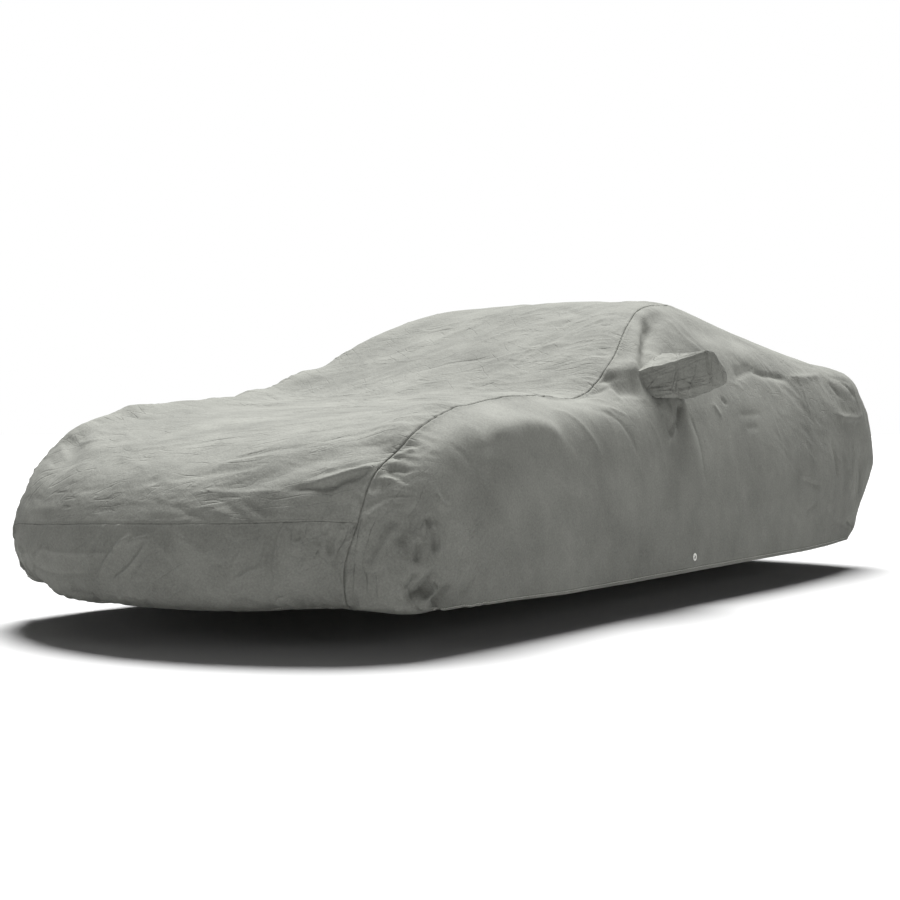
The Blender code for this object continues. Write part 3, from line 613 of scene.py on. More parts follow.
@dataclass
class DrapedCloth:
    """The whole outer face of the cover as one surface of v and u.

    The outer face is the smooth surface through the station lines, lifted along its normals
    by the main folds, the creases and the wrinkles, and pressed flat round the eyelets.
    """

    table_rows: int = 841
    table_columns: int = 241
    # Lengths along the cloth are measured on the line of this place across.
    waist_u: float = 0.6
    # Each end of a crease eases out over this share of it. A straight crease has this many steps.
    fold_taper: float = 0.28
    fold_steps: int = 8
    # A cusp is this much narrower than a bell. It falls off as exp(-slope x), rounded at its crest.
    sharp_width: float = 0.62
    cusp_slope: float = 1.3
    cusp_blunt: float = 0.12
    cusp_crest: float = 0.35
    lean_gain: float = 1.5
    # The wrinkles sway by this much over this distance. The right half reads the noise elsewhere.
    sway: float = 0.05
    sway_size: float = 0.3
    right_shift: float = 31.7
    sway_seeds: tuple[int, int] = (11, 12)
    wrinkle_seed: int = 100
    patch_seed: int = 300
    # How the areas fade: how far past an edge and over what length, in stations and in places.
    wrinkle_fade: tuple[tuple[float, float], ...] = ((0.5, 0.8), (0.04, 0.05))
    fine_fade: tuple[tuple[float, float], ...] = ((0.4, 0.7), (0.05, 0.06))
    # The cloth is flat this near to an eyelet's middle, and untouched past the second distance.
    eyelet_flat: float = 19 * MM
    eyelet_blend: float = 60 * MM
    lines: Array = field(init=False)
    table_v: Array = field(init=False)
    across: Array = field(init=False)
    along: Array = field(init=False)

    def __post_init__(self) -> None:
        """Works out the station lines and the table of lengths along and across the cloth."""
        self.lines = self.station_lines()
        self.table_v = np.linspace(0, LAST_V, self.table_rows)
        u = np.linspace(-1, 1, self.table_columns)
        grid = self.smooth(self.table_v, np.broadcast_to(u, (self.table_rows, len(u))))
        length = path_lengths(grid, 1)
        self.across = length - length[:, [self.table_columns // 2]]
        self.along = path_lengths(grid[:, np.abs(u - self.waist_u).argmin()])

    def station_lines(self) -> Array:
        """Works out the eleven lines along the cover, from the right hem to the left hem.

        The right half mirrors the left. Towards the front of its side it hangs lower by the
        sag, and it moves in by the tuck.

        Returns:
            (station, line, 3) points.
        """
        left = np.zeros((len(STATIONS), len(LINES_U), 3))
        for row, station in zip(left, STATIONS):
            s = Station._make(MM * value for value in station)
            row[0] = (0.0, s.centre_y, s.centre_z)
            row[2] = (s.seam_x, s.seam_y, s.seam_z)
            row[1] = row[0] + CROWN_SHARE * (row[2] - row[0])
            row[3] = (s.waist_x, s.waist_y, s.waist_z)
            row[4] = (s.side_x, s.side_y, s.side_z)
            row[5] = (s.hem_x, s.hem_y, s.hem_z)
        lines = np.concatenate([left[:, :0:-1] * (-1, 1, 1), left], axis=1)
        sag = MM * np.array([station.right_sag for station in STATIONS])[:, None]
        rightness = np.clip(0.5 - 0.5 * lines[..., 0] / (MM * STATIONS[FRONT_SEAM_V].seam_x), 0, 1)
        lines[..., 2] -= sag * rightness**2
        tuck = MM * np.array([station.right_tuck for station in STATIONS])[:, None] * rightness**2
        lines[..., 0] += RIGHT_TUCK_INWARD * tuck
        lines[..., 1] += tuck
        return lines - ORIGIN

    def smooth(self, v: Array, u: Array) -> Array:
        """Points of the cloth with no folds.

        Args:
            v: (n,) stations.
            u: (n, m) places across, m for each station.

        Returns:
            (n, m, 3) points in the frame of the part.
        """
        stations = np.moveaxis(on_curves(self.lines, v), 1, 0)
        line_u = np.concatenate([-LINES_U[:0:-1], LINES_U])
        place = np.interp(u, line_u, np.arange(len(line_u)))
        beyond = np.maximum(np.abs(u) - 1, 0) / (LINES_U[-1] - LINES_U[-2])
        place = place + np.sign(u) * beyond
        rows = np.broadcast_to(np.arange(len(v))[:, None], u.shape)
        return on_curves(stations, place, rows)

    def normals(self, v: Array, u: Array) -> Array:
        """Outward unit normals of the smooth cloth, from the points just around each.

        Args:
            v: (n,) stations.
            u: (n, m) places across.

        Returns:
            (n, m, 3) normals.
        """
        step = 0.004
        along = self.smooth(v + step, u) - self.smooth(v - step, u)
        across = self.smooth(v, u + step) - self.smooth(v, u - step)
        normal = np.cross(across, along)
        return normal / np.linalg.norm(normal, axis=-1, keepdims=True)

    def lengths(self, v: Array, u: Array) -> tuple[Array, Array]:
        """Lengths in metres across from the centre line and along from the front.

        They are read from the tables, with straight lines between the entries.

        Args:
            v: (n,) stations.
            u: (n, m) places across.

        Returns:
            Lengths across and lengths along, (n, m) each.
        """
        row = self.table_row(v)
        column = np.clip((u + 1) / 2 * (self.table_columns - 1), 0, self.table_columns - 1.001)
        i, j = row.astype(int)[:, None], column.astype(int)
        a, b = row[:, None] - i, column - j
        low = self.across[i, j] * (1 - b) + self.across[i, j + 1] * b
        high = self.across[i + 1, j] * (1 - b) + self.across[i + 1, j + 1] * b
        across = low * (1 - a) + high * a
        along = np.interp(v, self.table_v, self.along)
        return across, np.broadcast_to(along[:, None], u.shape)

    def table_row(self, v: Array) -> Array:
        """The place of each station in the rows of the tables."""
        return np.clip(v / LAST_V * (self.table_rows - 1), 0, self.table_rows - 1.001)

    def length_at(self, v: Array, u: float) -> Array:
        """(n,) lengths across from the centre line to one place u, for each station."""
        return self.lengths(v, np.full((len(v), 1), u))[0][:, 0]

    def place_at(self, v: Array, across: Array) -> Array:
        """The places u that lie given lengths across from the centre line.

        Each station's row of the length table is read backwards. All rows are read at once
        by shifting each row by more than its own reach.

        Args:
            v: (n,) stations.
            across: (n, m) lengths, m for each station.

        Returns:
            (n, m) places across.
        """
        row = self.table_row(v)
        i = row.astype(int)
        a = (row - i)[:, None]
        table = self.across[i] * (1 - a) + self.across[i + 1] * a
        shift = 10.0 * np.arange(len(v))[:, None]
        u = np.linspace(-1, 1, self.table_columns)
        flat_u = np.broadcast_to(u, table.shape).ravel()
        return np.interp((across + shift).ravel(), (table + shift).ravel(), flat_u).reshape(
            across.shape
        )

    def crease_lift(
        self, points: Array, normal: Array, crease: Crease, side: int, sharp: bool = False
    ) -> Array:
        """How far one crease lifts each point.

        Across the crease it is height times a bell, or for a sharp crease times a cusp with
        a small round crest, tipped over by its lean. Along it a quarter sine eases both ends
        to nothing.

        Args:
            points: (n, m, 3) points of the smooth cloth.
            normal: its normals.
            crease: the crease.
            side: 1 as listed, -1 mirrored to the other half.
            sharp: whether its crest is a cusp.

        Returns:
            (n, m) lifts in metres.
        """
        knots = np.array(crease.path) * (1, side)
        steps = self.fold_steps if len(knots) == 2 else 5 * (len(knots) - 1)
        at = np.linspace(0, len(knots) - 1, steps)
        if len(knots) == 2:
            line = knots[0] + at[:, None] * (knots[1] - knots[0])
        else:
            line = on_curves(knots, at)
        path = self.smooth(line[:, 0], line[:, 1:])[:, 0]
        width = MM * crease.width_mm * (self.sharp_width if sharp else 1.0)
        near = np.all((points > path.min(0) - 3 * width) & (points < path.max(0) + 3 * width), -1)
        lift = np.zeros(points.shape[:-1])
        if not near.any():
            return lift
        spots, facing = points[near], normal[near]
        start, run = path[:-1], np.diff(path, axis=0)
        offset = spots[:, None] - start
        t = np.clip((offset * run).sum(-1) / (run * run).sum(-1), 0, 1)
        offset -= t[..., None] * run
        distance = np.linalg.norm(offset, axis=-1)
        nearest = distance.argmin(axis=1)
        pick = (np.arange(len(spots)), nearest)
        share = (nearest + t[pick]) / len(run)
        above = (np.cross(run[nearest], facing) * offset[pick]).sum(-1)
        signed = np.sign(above) * distance[pick] / width
        taper = np.clip(np.minimum(share, 1 - share) / self.fold_taper, 0, 1)
        away = np.sqrt(signed**2 + self.cusp_blunt)
        shape = np.exp(self.cusp_slope * (self.cusp_crest - away)) if sharp else bell(signed)
        tipped = self.lean_gain * side * crease.lean * signed * bell(0.5 * signed)
        profile = shape * (1 + tipped)
        lift[near] = MM * crease.height_mm * profile * np.sin(0.5 * math.pi * taper) ** 2
        return lift

    def wrinkle_lift(self, v: Array, u: Array) -> Array:
        """How far the wrinkled areas lift each point.

        Noise is read on the cloth's own lengths, turned and stretched along the wrinkles'
        run. Crested noise keeps its size but loses its sign, which leaves sharp crests, and
        thin noise keeps only a bell round its zero line, in patches of a second noise.

        Args:
            v: (n,) stations.
            u: (n, m) places across.

        Returns:
            (n, m) lifts in metres.
        """
        across, along = self.lengths(v, u)
        place = (across / self.sway_size, along / self.sway_size)
        sway_across = self.sway * gradient_noise(*place, self.sway_seeds[0])
        sway_along = self.sway * gradient_noise(place[0] + 40, place[1], self.sway_seeds[1])
        gaps = {
            Near.SIDE_SEAM: np.abs(across) - self.length_at(v, SEAM_U)[:, None],
            Near.SIDE_HEM: np.abs(across) - self.length_at(v, 1.0)[:, None],
            Near.FRONT_SEAM: along - np.interp(FRONT_SEAM_V, self.table_v, self.along),
        }
        lift = np.zeros(u.shape)
        for number, area in enumerate(WRINKLES):
            mask = area_mask(v, u, area, *self.wrinkle_fade)
            if area.near is not Near.NOTHING:
                mask = mask * bell(gaps[area.near] / (MM * area.reach_mm))
            turn = math.radians(area.turn)
            side = np.where(u < 0, -1.0, 1.0) if area.u_start >= 0 else 1.0
            x = side * (across + sway_across)
            y = along + sway_along
            long = (x * math.cos(turn) + y * math.sin(turn)) / (MM * area.long_mm)
            short = (y * math.cos(turn) - x * math.sin(turn)) / (MM * area.short_mm)
            long = long + np.where(u < 0, self.right_shift, 0.0)
            value = gradient_noise(long, short, self.wrinkle_seed + number)
            if area.grain is Grain.CRESTED:
                value = crested(value, 0.8, 2.2, 0.006)
            elif area.grain is Grain.THIN:
                patch = gradient_noise(long / 1.7 + 9, short / 2.5, self.patch_seed + number)
                value = 1.8 * soft_step(1.6 * patch) * bell(value / 0.16)
            lift += MM * area.height_mm * mask * value
        return lift

    def fine_creases(self, v: Array, u: Array) -> Array:
        """Strengths of the thin creases at their four angles, and of the crumpling.

        Each is the sum over the areas, and beside the side seams the first also has a bell.

        Args:
            v: (n,) stations.
            u: (n, m) places across.

        Returns:
            (n, m, 5) strengths.
        """
        across, _ = self.lengths(v, u)
        strength = np.zeros((*u.shape, 5))
        for area in FINE_CREASES:
            mask = area_mask(v, u, area, *self.fine_fade)
            strength += mask[..., None] * area[4:]
        gap = np.abs(across) - self.length_at(v, SEAM_U)[:, None]
        strength[..., 0] += SEAM_PUCKER * bell(gap / SEAM_PUCKER_REACH)
        return strength

    def lift(self, v: Array, u: Array, points: Array, normal: Array) -> Array:
        """The total lift of the main folds, the creases and the wrinkles.

        Args:
            v: (n,) stations.
            u: (n, m) places across.
            points: (n, m, 3) points of the smooth cloth there.
            normal: Its normals.

        Returns:
            (n, m) lifts in metres.
        """
        total = self.wrinkle_lift(v, u)
        for crease in MAIN_FOLDS:
            for side in crease.side.value:
                total += self.crease_lift(points, normal, crease, side)
        for group in CREASE_GROUPS:
            for crease in group.creases:
                for side in (1, -1) if group.mirrored else (1,):
                    total += self.crease_lift(points, normal, crease, side, group.sharp)
        return total

    def eyelet_middle(self, side: int) -> Array:
        """The middle of the CAD eyelet on the cloth's outer face."""
        low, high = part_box("eyelet_ring_" + HALVES[side])
        middle = 0.5 * (np.array(low) + np.array(high))
        return middle + (0.5 * side * CLOTH_THICKNESS, 0, 0)

    def pressed(self, points: Array) -> Array:
        """Draws points sideways into the eyelets' flat faces, wholly by the ring and less beyond.

        Args:
            points: (n, m, 3) points, which are changed in place.

        Returns:
            The points.
        """
        fade = self.eyelet_blend - self.eyelet_flat
        for side in HALVES:
            middle = self.eyelet_middle(side)
            gap = np.linalg.norm(points - middle, axis=-1)
            weight = 1 - soft_step((gap - self.eyelet_flat) / fade)
            points[..., 0] += weight * (middle[0] - points[..., 0])
        return points

    def outer(self, v: Array, u: Array, extra: Array | float = 0.0) -> tuple[Array, Array]:
        """The finished outer face.

        Args:
            v: (n,) stations.
            u: (n, m) places across.
            extra: A further lift, such as that of the seams and hems.

        Returns:
            (n, m, 3) points and normals.
        """
        points, normal = self.smooth(v, u), self.normals(v, u)
        total = self.lift(v, u, points, normal) + extra
        return self.pressed(points + total[..., None] * normal), normal


def linear(hex_colour: str) -> tuple[float, float, float, float]:
    """Turns an sRGB colour such as "#8A8A80" into linear red, green, blue and alpha."""
    parts = [int(hex_colour[k : k + 2], 16) / 255 for k in (1, 3, 5)]
    red, green, blue = (p / 12.92 if p <= 0.04045 else ((p + 0.055) / 1.055) ** 2.4 for p in parts)
    return red, green, blue, 1.0


def set_inputs(tree: Any, node: Any, inputs: dict[Any, Any]) -> None:
    """Gives each input of a shader node its value, or joins it to the socket given for it.

    Args:
        tree: The node tree.
        node: The node.
        inputs: The values and sockets by the inputs' names or numbers.
    """
    for name, value in inputs.items():
        if isinstance(value, bpy.types.NodeSocket):
            tree.links.new(value, node.inputs[name])
        else:
            node.inputs[name].default_value = value


def add_node(
    tree: Any, kind: str, inputs: dict[Any, Any], out: str | int = 0, **settings: Any
) -> Any:
    """Adds one shader node.

    Args:
        tree: The material's node tree.
        kind: Blender's name for the node's type, less the word ShaderNode in front.
        inputs: What each input takes, a value or the socket that is joined to it.
        out: The output that is wanted, by name or number.
        settings: The node's own settings by name.

    Returns:
        The output's socket.
    """
    node = tree.nodes.new("ShaderNode" + kind)
    for name, value in settings.items():
        setattr(node, name, value)
    set_inputs(tree, node, inputs)
    return node.outputs[out]


def new_material(name: str) -> tuple[Any, Any, Any]:
    """Makes a material, and returns it with its node tree and its shader."""
    material = bpy.data.materials.new(name)
    material.use_nodes = True
    return material, material.node_tree, material.node_tree.nodes["Principled BSDF"]


@dataclass(frozen=True)
class NonWovenCloth:
    """Non-woven polypropylene cover cloth, spun-bonded and heat-embossed.

    It gives a dead matt, slightly green grey, with faint clouds where the web is thicker and
    a fine pebbled face.
    """

    name: str = "non-woven polypropylene"
    colour: str = "#868781"
    # How much the thicker and thinner parts of the web, and its grains, change the colour.
    cloud: float = 0.22
    speckle: float = 0.30
    roughness: float = 0.92
    specular: float = 0.22
    # Depths of the crumples, of the thin creases and of the embossed pebbles.
    crumple_mm: float = 14.0
    crease_mm: float = 2.8
    emboss_mm: float = 0.35
    # Painted shade: how much darker the cloth is drawn along a thin crease, where shade falls.
    crease_painted_shade: float = 0.055
    # The thin creases: their angles, spacing along and across their run, and share of it.
    line_turns: tuple[float, ...] = (3.0, 86.0, 24.0, -30.0)
    line_mm: tuple[tuple[float, float], ...] = ((300, 60), (200, 50), (380, 75), (300, 70))
    line_share: float = 0.022
    # Spacing of the embossed pebbles. The real ones are about 1 mm apart, too fine to show.
    pebble_mm: float = 5.0

    def build(self) -> Any:
        """Makes the material: even patterns on Object coordinates, runs on the UV map in metres.

        Returns:
            The material.
        """
        material, tree, shader = new_material(self.name)
        place = add_node(tree, "UVMap", {}, "UV", uv_map="cloth")
        spot = add_node(tree, "TexCoord", {}, "Object")
        *runs, share = (
            add_node(tree, "Attribute", {}, "Fac", attribute_name=name) for name in FINE_ATTRIBUTES
        )
        lines = 0.0
        for turn, size, strength in zip(self.line_turns, self.line_mm, runs):
            here = self.crease_lines(tree, place, turn, size, strength)
            lines = add_node(tree, "Math", {0: lines, 1: here}, operation="ADD")
        value = self.tone(tree, place, spot)
        # Painted shade: the base colour is darkened along the thin creases, standing in for the
        # shade in them.
        value = add_node(
            tree,
            "Math",
            {0: lines, 1: -self.crease_painted_shade, 2: value},
            operation="MULTIPLY_ADD",
            use_clamp=True,
        )
        grey = add_node(tree, "CombineColor", {0: value, 1: value, 2: value})
        tint = {0: 1.0, 6: linear(self.colour), 7: grey}
        look = {
            "Base Color": add_node(tree, "Mix", tint, 2, data_type="RGBA", blend_type="MULTIPLY"),
            "Roughness": self.roughness,
            "Specular IOR Level": self.specular,
            "Normal": self.bump(tree, spot, lines, share),
        }
        set_inputs(tree, shader, look)
        return material

    def tone(self, tree: Any, place: Any, spot: Any) -> Any:
        """The lightness of the cloth: even clouds, streaks along the web, and grains.

        Args:
            tree: The material's node tree.
            place: The UV map's socket.
            spot: The socket of the Object coordinates.

        Returns:
            The socket with the lightness, about 1.
        """
        stretched = add_node(tree, "Mapping", {"Vector": place, "Scale": (6.0, 14.0, 1.0)})
        # Where each noise is read, its scale, detail and roughness, and its weight.
        layers = (
            (spot, 5.0, 5.0, 0.6, self.cloud * 2.4),
            (stretched, 1.0, 4.0, 0.6, self.cloud * 0.5),
            (spot, 140.0, 3.0, 0.75, self.speckle * 2.0),
        )
        value = 1.0 - self.cloud * 1.2
        for at, scale, detail, rough, weight in layers:
            inputs = {"Vector": at, "Scale": scale, "Detail": detail, "Roughness": rough}
            noise = add_node(tree, "TexNoise", inputs)
            off = add_node(tree, "Math", {0: noise, 1: -0.5}, operation="ADD")
            value = add_node(tree, "Math", {0: off, 1: weight, 2: value}, operation="MULTIPLY_ADD")
        return value

    def crease_lines(
        self, tree: Any, place: Any, turn: float, size: tuple[float, float], strength: Any
    ) -> Any:
        """Thin creases that run at one angle.

        Stretched noise is near its middle value along long wandering lines. A line's height
        falls smoothly from there, times a patchy noise and the strength.

        Args:
            tree: The material's node tree.
            place: The UV map's socket.
            turn: The angle of the creases from the line across the cover, in degrees.
            size: Their spacing along and across their run, in millimetres.
            strength: The socket with their strength.

        Returns:
            The socket with their height from 0 to 1.
        """
        angle = (0, 0, -math.radians(turn))
        turned = {"Vector": place, "Rotation": angle, "Location": (0.1 * turn, 0, 0)}
        turned = add_node(tree, "Mapping", turned)
        scale = (1000 / size[0], 1000 / size[1], 1.0)
        stretched = add_node(tree, "Mapping", {"Vector": turned, "Scale": scale})
        web = {"Vector": stretched, "Scale": 1.0, "Detail": 1.5, "Distortion": 0.25}
        web = add_node(tree, "TexNoise", web)
        off = add_node(tree, "Math", {0: web, 1: 0.5}, operation="SUBTRACT")
        away = add_node(tree, "Math", {0: off}, operation="ABSOLUTE")
        fall = {"Value": away, "From Max": self.line_share, "To Min": 1.0, "To Max": 0.0}
        line = add_node(tree, "MapRange", fall, interpolation_type="SMOOTHSTEP")
        patchy = add_node(tree, "TexNoise", {"Vector": turned, "Scale": 7.0, "Detail": 2.0})
        patch = add_node(tree, "MapRange", {"Value": patchy, "From Min": 0.42, "From Max": 0.62})
        part = add_node(tree, "Math", {0: line, 1: patch}, operation="MULTIPLY")
        return add_node(tree, "Math", {0: part, 1: strength}, operation="MULTIPLY")

    def bump(self, tree: Any, spot: Any, lines: Any, share: Any) -> Any:
        """Crumples, thin creases and embossed pebbles, as one bumped normal.

        Args:
            tree: The material's node tree.
            spot: The socket of the Object coordinates.
            lines: The socket with the thin creases' height.
            share: The socket with the crumples' strength.

        Returns:
            The normal's socket.
        """
        uneven = {"Scale": 13.0, "Detail": 6.0, "Roughness": 0.58, "Distortion": 0.3}
        crumple = add_node(tree, "TexNoise", {"Vector": spot, **uneven})
        crumples = add_node(tree, "Math", {0: crumple, 1: share}, operation="MULTIPLY")
        pebble = {"Vector": spot, "Scale": 1000 / self.pebble_mm}
        pebbles = add_node(tree, "TexVoronoi", pebble, "Distance", feature="SMOOTH_F1")
        layers = (
            (crumples, self.crumple_mm, False),
            (lines, self.crease_mm, True),
            (pebbles, self.emboss_mm, False),
        )
        normal = None
        for height, depth_mm, sunk in layers:
            inputs = {"Height": height, "Distance": depth_mm * MM, "Strength": 1.0}
            if normal is not None:
                inputs["Normal"] = normal
            normal = add_node(tree, "Bump", inputs, invert=sunk)
        return normal


@dataclass(frozen=True)
class SewingThread:
    """Spun polyester thread: soft, a little lighter than the cloth, with a faint gloss.

    The seams' thread is near the cloth's grey, and the hems' is paler.
    """

    name: str = "polyester thread"
    colour: str = "#8C8D86"
    shade: str = "#7E7F78"

    def build(self) -> Any:
        """Makes the material, with the twist as fine grains on Object coordinates.

        Returns:
            The material.
        """
        material, tree, shader = new_material(self.name)
        place = add_node(tree, "TexCoord", {}, "Object")
        twist = add_node(tree, "TexNoise", {"Vector": place, "Scale": 900.0, "Detail": 1.0})
        tone = {0: twist, 6: linear(self.shade), 7: linear(self.colour)}
        ridges = {"Height": twist, "Distance": 0.2 * MM, "Strength": 0.4}
        look = {
            "Base Color": add_node(tree, "Mix", tone, 2, data_type="RGBA"),
            "Roughness": 0.7,
            "Normal": add_node(tree, "Bump", ridges),
        }
        set_inputs(tree, shader, look)
        return material


@dataclass(frozen=True)
class PressedAluminium:
    """Pressed aluminium eyelet: pale, satin, with fine dull specks."""

    name: str = "pressed aluminium"
    colour: str = "#E4E4DF"
    dull: str = "#C4C4BE"

    def build(self) -> Any:
        """Makes the material on Object coordinates.

        Returns:
            The material.
        """
        material, tree, shader = new_material(self.name)
        place = add_node(tree, "TexCoord", {}, "Object")
        specks = add_node(tree, "TexNoise", {"Vector": place, "Scale": 420.0, "Detail": 4.0})
        tone = {0: specks, 6: linear(self.dull), 7: linear(self.colour)}
        pits = {"Height": specks, "Distance": 0.1 * MM, "Strength": 0.3}
        satin = {"Value": specks, "To Min": 0.3, "To Max": 0.52}
        look = {
            "Base Color": add_node(tree, "Mix", tone, 2, data_type="RGBA"),
            "Roughness": add_node(tree, "MapRange", satin),
            "Normal": add_node(tree, "Bump", pits),
            "Metallic": 0.85,
        }
        set_inputs(tree, shader, look)
        return material


@dataclass(frozen=True)
class StudioVinyl:
    """The studio floor: matt white vinyl with barely visible unevenness."""

    name: str = "matt white vinyl"
    colour: str = "#B2B2B2"

    def build(self) -> Any:
        """Makes the material on Object coordinates.

        Returns:
            The material.
        """
        material, tree, shader = new_material(self.name)
        place = add_node(tree, "TexCoord", {}, "Object")
        clouds = add_node(tree, "TexNoise", {"Vector": place, "Scale": 1.5, "Detail": 3.0})
        matt = {"Value": clouds, "To Min": 0.8, "To Max": 0.95}
        look = {
            "Base Color": linear(self.colour),
            "Roughness": add_node(tree, "MapRange", matt),
            "Specular IOR Level": 0.1,
        }
        set_inputs(tree, shader, look)
        return material


@dataclass
class Finishes:
    """The materials of the cover, made once."""

    cloth: Any = field(default_factory=lambda: NonWovenCloth().build())
    thread: Any = field(default_factory=lambda: SewingThread().build())
    hem_thread: Any = field(
        default_factory=lambda: SewingThread("pale polyester thread", "#DADAD2", "#B4B5AD").build()
    )
    eyelet: Any = field(default_factory=lambda: PressedAluminium().build())


def add_mesh(
    name: str,
    points: Array,
    faces: tuple[Array, ...],
    uv: Array | None,
    material: Any,
    fine: Array | None = None,
) -> Any:
    """Adds a smooth mesh piece at the origin.

    Args:
        name: The piece's name.
        points: (n, 3) vertices.
        faces: Arrays of vertex numbers, one row a face, each array with its own number of sides.
        uv: (n, 2) lengths in metres for the UV map, which leaves triangles out, or None.
        material: Its material.
        fine: (n, 5) strengths of the thin creases and of the crumpling, or None.

    Returns:
        The object.
    """
    mesh = bpy.data.meshes.new(name)
    corners = np.concatenate([part.ravel() for part in faces]).astype(np.int32)
    sides = np.concatenate([np.full(len(part), part.shape[1]) for part in faces])
    mesh.vertices.add(len(points))
    mesh.vertices.foreach_set("co", points.astype(np.float32).ravel())
    mesh.loops.add(len(corners))
    mesh.loops.foreach_set("vertex_index", corners)
    mesh.polygons.add(len(sides))
    mesh.polygons.foreach_set("loop_start", (np.cumsum(sides) - sides).astype(np.int32))
    mesh.update(calc_edges=True)
    mesh.validate()
    if uv is not None:
        # The triangles that close a pocket's end have no place on the flat cloth.
        closing = np.repeat(sides, sides) == 3
        place = np.where(closing[:, None], 0.0, uv[corners])
        layer = mesh.uv_layers.new(name="cloth")
        layer.data.foreach_set("uv", place.astype(np.float32).ravel())
    if fine is not None:
        for k, attribute in enumerate(FINE_ATTRIBUTES):
            layer = mesh.attributes.new(attribute, "FLOAT", "POINT")
            layer.data.foreach_set("value", np.ascontiguousarray(fine[:, k], np.float32))
    mesh.shade_smooth()
    mesh.materials.append(material)
    piece = bpy.data.objects.new(name, mesh)
    bpy.context.scene.collection.objects.link(piece)
    return piece


def grid_faces(rows: int, columns: int, closed: bool = False, flip: bool = False) -> Array:
    """Vertex numbers of a grid's cells.

    Args:
        rows: How many rows of vertices the grid has.
        columns: How many vertices a row has.
        closed: Whether each row closes into a ring.
        flip: Whether to turn the faces over.

    Returns:
        (rows - 1, columns - 1, 4) numbers, with one more column where the rows are rings.
    """
    number = np.arange(rows * columns).reshape(rows, columns)
    if closed:
        number = np.concatenate([number, number[:, :1]], axis=1)
    cells = np.stack([number[:-1, :-1], number[:-1, 1:], number[1:, 1:], number[1:, :-1]], axis=-1)
    return cells[..., ::-1] if flip else cells


def sheet_area(points: Array) -> float:
    """The area of a grid of points (n, m, 3), as half the diagonals' cross product of each cell."""
    one = points[1:, 1:] - points[:-1, :-1]
    other = points[1:, :-1] - points[:-1, 1:]
    return float(0.5 * np.linalg.norm(np.cross(one, other), axis=-1).sum())


class Edge(Enum):
    """What an edge of a panel is."""

    SEAM = 1
    FINE_SEAM = 2
    HEM = 3
    OPEN = 4


@dataclass(frozen=True)
class SeamShape:
    """The relief of a sewn seam and of a turned, stitched hem, by distance from the edge.

    The seam dips as a bell at its line and rises as a lower bell beside it. The hem stands
    proud up to its stitch line, which dips as a narrow bell.
    """

    dip: float = 4.6 * MM
    dip_width: float = 2.3 * MM
    rise: float = 0.9 * MM
    rise_at: float = 8.5 * MM
    rise_width: float = 4.5 * MM
    fine_share: float = 0.5
    hem_band: float = 18.0 * MM
    hem_proud: float = 1.6 * MM
    hem_dip: float = 2.4 * MM
    hem_dip_width: float = 2.6 * MM
    hem_fold: float = 1.3 * MM
    near_mm: tuple[float, ...] = (0, 1.3, 2.8, 4.6, 7, 10.5, 14, 19, 26)
    hem_mm: tuple[float, ...] = (0, 1.5, 4, 8, 13, 16, 18, 20, 23, 29)

    def seam(self, distance: Array) -> tuple[Array, Array]:
        """The dip, and the rise beside it, at a distance from a seam."""
        dip = -self.dip * bell(distance / self.dip_width)
        return dip, self.rise * bell((distance - self.rise_at) / self.rise_width)

    def steps(self, kind: Edge | None) -> Array:
        """Distances in metres of the mesh lines beside a hem, a seam, or an open edge."""
        return MM * np.array({Edge.HEM: self.hem_mm, Edge.OPEN: (0.0,)}.get(kind, self.near_mm))

    def hem(self, distance: Array) -> Array:
        """The lift at a distance from a hem's edge."""
        band = self.hem_proud * soft_step((self.hem_band - distance) / (3 * MM) + 0.5)
        return band - self.hem_dip * bell((distance - self.hem_band) / self.hem_dip_width)


def spaced(low: float, high: float, count: int, near_low: Array, near_high: Array) -> Array:
    """Places from low to high: fixed steps beside both ends and even steps between."""
    middle = np.linspace(low + near_low[-1], high - near_high[-1], count)
    return np.concatenate([low + near_low[:-1], middle, (high - near_high[:-1])[::-1]])


